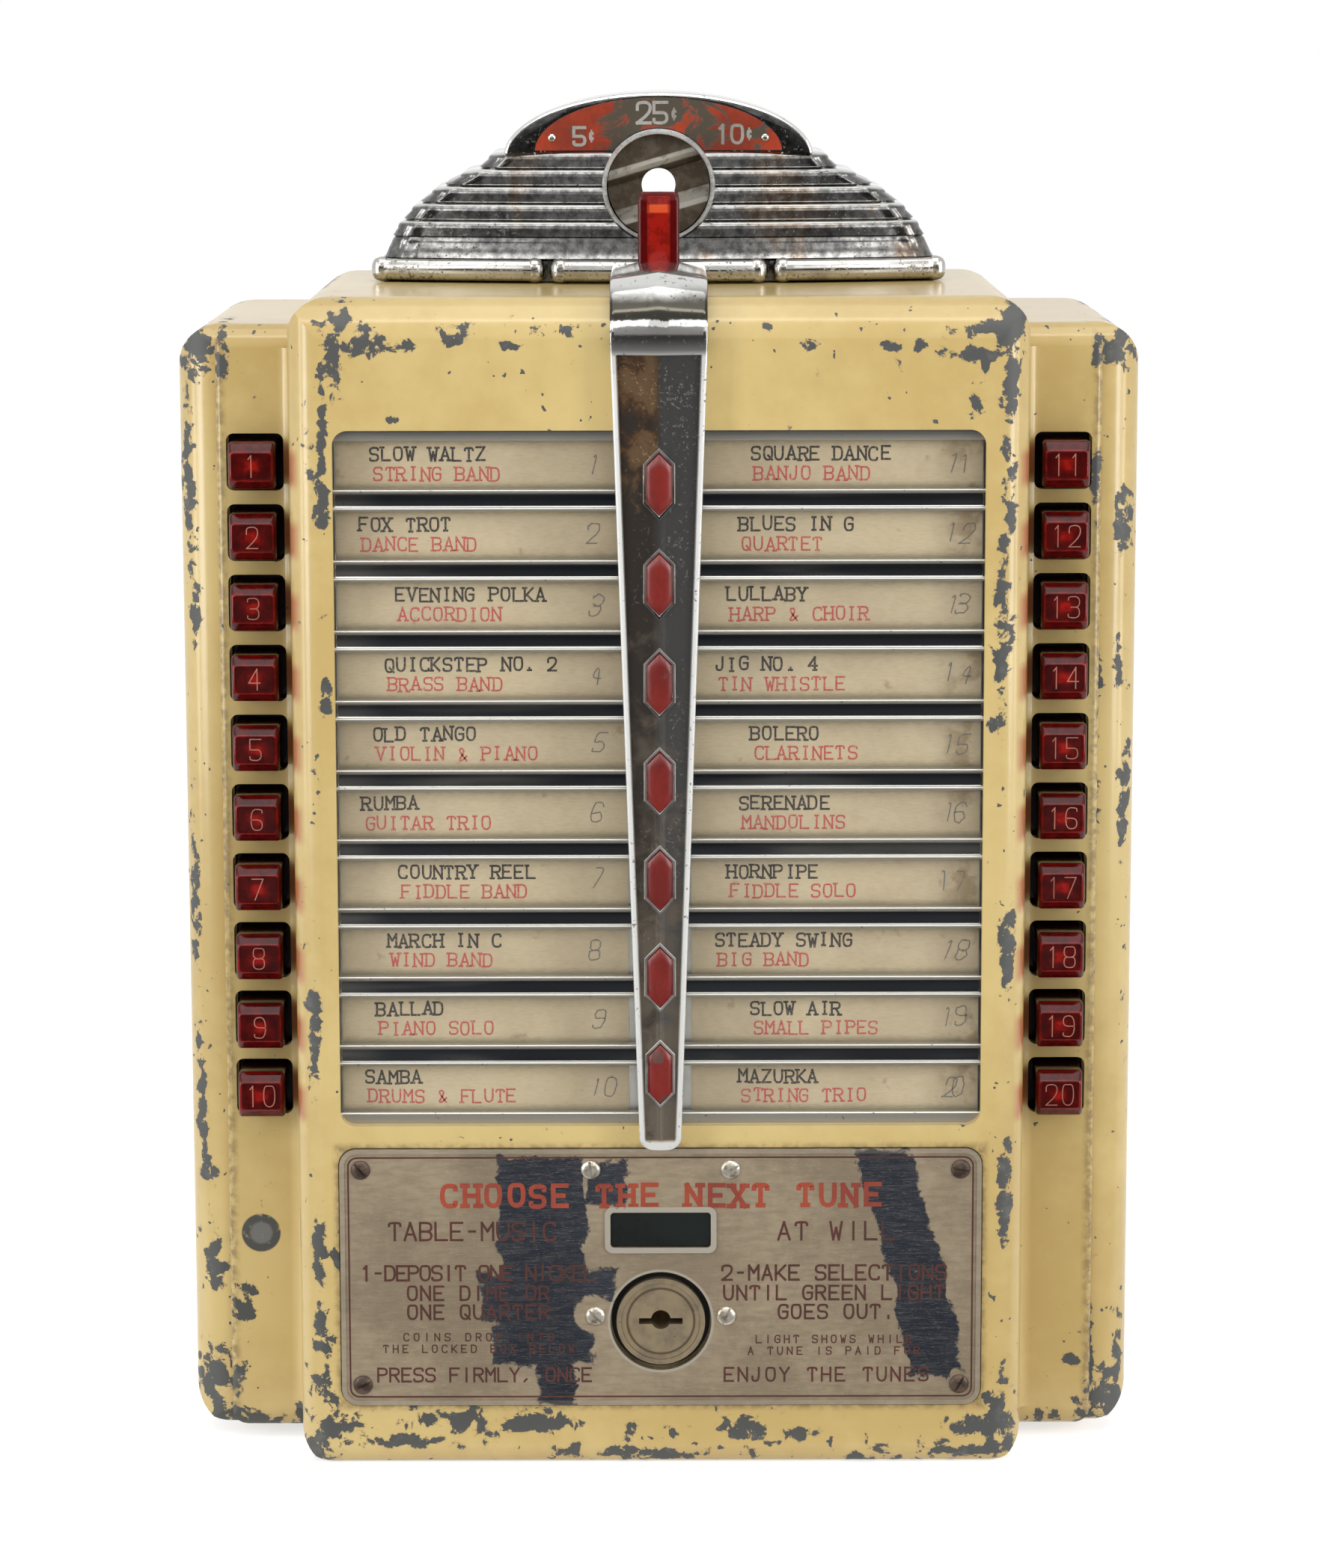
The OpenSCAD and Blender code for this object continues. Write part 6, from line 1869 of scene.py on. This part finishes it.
def make_screws():
    """Small domed screws, each with its slot turned a little differently."""
    low, high = node_box("nameplate_screws")
    heads = Shape()
    face = low[1] + 1.1 * MM
    radius = 2.6 * MM
    angle = np.linspace(0.12, np.pi / 2, 6)
    profile = np.concatenate([
        [[0.02 * MM, -1.1 * MM]], np.column_stack([radius * np.sin(angle), -1.1 * MM * np.cos(angle)]),
        [[radius, 0.1 * MM], [1.2 * MM, 0.1 * MM], [1.2 * MM, high[1] - face]]])
    for x, z in screw_places():
        lathe(heads, profile, (x, face, z), 32)
    thing = heads.make("plate_screws", FINISHES["screws"], 35)
    cutters = []
    for k, (x, z) in enumerate(screw_places()):
        turn = 0.4 + 1.9 * k
        along = np.array([math.cos(turn), 0, math.sin(turn)]) * 3.4 * MM
        across = np.array([-math.sin(turn), 0, math.cos(turn)]) * 0.33 * MM
        slot = Shape()
        rings = [[np.array([x, y, z]) + a * along + b * across
                  for a, b in ((-1, -1), (1, -1), (1, 1), (-1, 1))]
                 for y in (low[1] - 1 * MM, low[1] + 0.62 * MM)]
        loft(slot, np.array(rings))
        cutters.append(slot.make("cutter", FINISHES["screws"]))
    combine(thing, "DIFFERENCE", cutters)
    settle(thing, "cover", "nickel", "nameplate_screws")


# ---- stage


def stage_glow(name, strength):
    """A plain glowing white for the narrow cards that mirrors and varnish pick up as lines."""
    material, tree = start_material(name)
    surface(tree, (0.8, 0.8, 0.8), 0.9, 0.0, Emission_Color=(1.0, 0.98, 0.95),
            Emission_Strength=strength)
    return material


def seen_by_eye(tree):
    """1 for a ray from the camera, or one by way of a mirror or glass, else 0."""
    path = fields_of(tree, add(tree, "LightPath"))
    return most(path["Is Camera Ray"], most(path["Is Glossy Ray"], path["Is Transmission Ray"]))


def stage_material(name, tone, lift=0.0):
    """A plain matt stage colour; lift is the extra white that the eye sees, also in metal and glass."""
    material, tree = start_material(name)
    seen = seen_by_eye(tree)
    glow = mixed(seen * lift, (0.0, 0.0, 0.0), (1.0, 1.0, 1.0))
    surface(tree, tone, 0.9, 0.0, Emission_Color=glow, Emission_Strength=1.0)
    return material


def stage_sheet(name, corners, material, reflections_only=False):
    """A flat sheet of the stage through four corners."""
    mesh = bpy.data.meshes.new(name)
    mesh.from_pydata([tuple(corner) for corner in corners], [], [(0, 1, 2, 3)])
    mesh.materials.append(material)
    thing = new_object(name, mesh)
    if reflections_only:
        thing.visible_camera = False
        thing.visible_diffuse = False
        thing.visible_shadow = False
        thing.visible_transmission = False


def upright_card(name, first, second, low, high, material):
    """A card that stands over the line between two floor points, seen in reflections alone."""
    stage_sheet(name, [(*first, low), (*second, low), (*second, high), (*first, high)], material, True)


def make_world(look):
    """White to the camera and to mirrors, softer to matt surfaces."""
    world = bpy.data.worlds.new("studio")
    bpy.context.scene.world = world
    world.use_nodes = True
    tree = world.node_tree
    tree.nodes.clear()
    seen = seen_by_eye(tree)
    soft = add(tree, "Background", {"Color": (1.0, 1.0, 1.0), "Strength": look.world})
    white = add(tree, "Background", {"Color": (1.0, 1.0, 1.0), "Strength": 1.0})
    blend = add(tree, "MixShader", {0: seen, 1: soft.outputs[0], 2: white.outputs[0]})
    out = tree.nodes.new("ShaderNodeOutputWorld")
    join(tree, out.inputs["Surface"], blend.outputs[0])


def area_light(name, place, aim, size, power):
    """A soft rectangular lamp turned towards a point."""
    data = bpy.data.lights.new(name, "AREA")
    data.shape = "RECTANGLE"
    data.size, data.size_y = size
    data.energy = power
    lamp = new_object(name, data)
    lamp.location = place
    away = np.array(place) - np.array(aim)
    lamp.rotation_euler = (math.atan2(math.hypot(away[0], away[1]), away[2]), 0,
                           math.atan2(away[0], -away[1]))


# Dark strips on the ground that only mirrors see: for each a near, a middle and a far edge as
# depth, left end and right end, in metres
DARK_STRIPS = {
    "strip_left": ((-0.10, -0.044, -0.021), (-0.42, -0.056, -0.026), (-2.60, -0.150, -0.036)),
    "strip_right": ((-0.10, 0.070, 0.082), (-0.42, 0.066, 0.084), (-2.60, 0.100, 0.220)),
}


def make_stage():
    """Floor, reflection cards, light and the camera."""
    look = settings("stage")
    white = stage_material("floor_white", (0.80, 0.80, 0.80), look.floor_lift)
    stage_sheet("floor", [(-30, -30, 0), (30, -30, 0), (30, 30, 0), (-30, 30, 0)], white)
    grey = stage_material("card_grey", (0.30, 0.30, 0.30))
    dark = stage_material("card_dark", (0.045, 0.045, 0.045))
    black = stage_material("card_black", (0.012, 0.012, 0.014))
    stage_sheet("mat", [(-0.9, -0.08, 0.001), (0.9, -0.08, 0.001), (2.2, -2.7, 0.001),
                        (-2.2, -2.7, 0.001)], grey, True)
    for name, (near, middle, far) in DARK_STRIPS.items():
        for part, (first, second) in enumerate(((near, middle), (middle, far))):
            corners = [(first[1], first[0], 0.002), (first[2], first[0], 0.002),
                       (second[2], second[0], 0.002), (second[1], second[0], 0.002)]
            stage_sheet("%s_%d" % (name, part), corners, black, True)
    for side in (-1, 1):
        stage_sheet("side_mat", [(side * 0.05, -0.12, 0.002), (side * 0.14, -0.12, 0.002),
                                 (side * 1.25, -2.65, 0.002), (side * 0.55, -2.65, 0.002)], dark, True)
        upright_card("side", (side * 0.34, -0.95), (side * 0.60, -0.80), 0, 0.5, dark)
    upright_card("rear_panel", (-2.4, -2.7), (2.4, -2.7), 0.0, 0.62, black)
    glow = stage_glow("card_glow", look.line_glow)
    for side in (-1, 1):
        for x, y, width in ((0.62, -0.95, 0.05), (1.0, -0.35, 0.08)):
            upright_card("line_card", (side * x, y), (side * (x + width), y + width), 0.02, 0.95, glow)
    stage_sheet("top_card", [(-0.7, -0.75, 1.15), (0.7, -0.75, 1.15), (0.7, -0.66, 1.20),
                             (-0.7, -0.66, 1.20)], glow, True)
    make_world(look)
    area_light("overhead", (0.0, -0.35, 1.35), (0, 0, 0.1), (1.2, 1.0), look.key)
    area_light("front_left", (-0.9, -1.5, 0.9), (0, 0, 0.18), (0.8, 1.0), 0.40 * look.key)
    area_light("front_right", (0.9, -1.5, 0.9), (0, 0, 0.18), (0.8, 1.0), 0.36 * look.key)
    for name, side in (("side_left", -1), ("side_right", 1)):
        area_light(name, (side * 1.15, -0.75, 0.35), (0, 0, 0.18), (0.32, 0.9), look.side)
    data = bpy.data.cameras.new("camera")
    data.lens = look.lens
    data.sensor_fit = "AUTO"
    data.sensor_width = 36
    data.clip_end = 200
    camera = new_object("camera", data)
    camera.location = (look.camera_x, look.camera_y, look.camera_z)
    camera.rotation_euler = (math.pi / 2 - look.pitch, look.roll, 0)
    bpy.context.scene.camera = camera
    bpy.context.scene.view_settings.view_transform = "Standard"


# ---- operators and panel


class WALLBOX_OT_finishes(bpy.types.Operator):
    """Builds the finishes and gives the kept solids theirs"""

    bl_idname = "wallbox.finishes"
    bl_label = "Finishes"

    def execute(self, context):
        EFFECTS.update(build_effects())
        FINISHES.update(build_finishes())
        dress_nodes()
        return {"FINISHED"}


class WALLBOX_OT_head(bpy.types.Operator):
    """Builds the coin head with its crest, bumper bars, values and jewel"""

    bl_idname = "wallbox.head"
    bl_label = "Coin head"

    def execute(self, context):
        make_head()
        make_bumpers()
        make_value_letters()
        make_jewel()
        return {"FINISHED"}


class WALLBOX_OT_pilaster(bpy.types.Operator):
    """Builds the pilaster and its enamelled cells"""

    bl_idname = "wallbox.pilaster"
    bl_label = "Pilaster"

    def execute(self, context):
        make_pilaster()
        make_cells()
        return {"FINISHED"}


class WALLBOX_OT_buttons(bpy.types.Operator):
    """Builds the twenty push buttons and their numbers"""

    bl_idname = "wallbox.buttons"
    bl_label = "Buttons"

    def execute(self, context):
        make_buttons()
        return {"FINISHED"}


class WALLBOX_OT_titles(bpy.types.Operator):
    """Builds the title rails and the lettering of the cards"""

    bl_idname = "wallbox.titles"
    bl_label = "Title panel"

    def execute(self, context):
        make_rails()
        make_card_lettering()
        return {"FINISHED"}


class WALLBOX_OT_plate(bpy.types.Operator):
    """Builds the lettering, border line and screws of the name plate"""

    bl_idname = "wallbox.plate"
    bl_label = "Name plate"

    def execute(self, context):
        make_plate_lettering()
        make_screws()
        return {"FINISHED"}


class WALLBOX_OT_stage(bpy.types.Operator):
    """Sets up the floor, the light and the camera"""

    bl_idname = "wallbox.stage"
    bl_label = "Stage"

    def execute(self, context):
        make_stage()
        return {"FINISHED"}


OPERATORS = (WALLBOX_OT_finishes, WALLBOX_OT_head, WALLBOX_OT_pilaster, WALLBOX_OT_buttons,
             WALLBOX_OT_titles, WALLBOX_OT_plate, WALLBOX_OT_stage)
GROUPS = {"paint": WallBoxPaint, "metal": WallBoxMetal, "plastic": WallBoxPlastic,
          "paper": WallBoxPaper, "shape": WallBoxShape, "stage": WallBoxStage}


class WALLBOX_PT_panel(bpy.types.Panel):
    """Sidebar panel that lists the steps"""

    bl_idname = "WALLBOX_PT_panel"
    bl_label = "Wall Box Selector"
    bl_space_type = "VIEW_3D"
    bl_region_type = "UI"
    bl_category = "Wall Box"

    def draw(self, context):
        for operator in OPERATORS:
            self.layout.operator(operator.bl_idname)


def register():
    """Registers the settings, the operators and the panel."""
    for name, group in GROUPS.items():
        bpy.utils.register_class(group)
        setattr(bpy.types.Scene, "wall_box_" + name, bpy.props.PointerProperty(type=group))
    for kind in (*OPERATORS, WALLBOX_PT_panel):
        bpy.utils.register_class(kind)


def unregister():
    """Takes everything back out."""
    for kind in reversed((*OPERATORS, WALLBOX_PT_panel)):
        bpy.utils.unregister_class(kind)
    for name, group in GROUPS.items():
        delattr(bpy.types.Scene, "wall_box_" + name)
        bpy.utils.unregister_class(group)


def main():
    """Runs every step in order."""
    register()
    for operator in OPERATORS:
        area, step = operator.bl_idname.split(".")
        result = getattr(getattr(bpy.ops, area), step)()
        if result != {"FINISHED"}:
            raise RuntimeError(operator.bl_label + " did not finish")


if __name__ == "__main__":
    main()
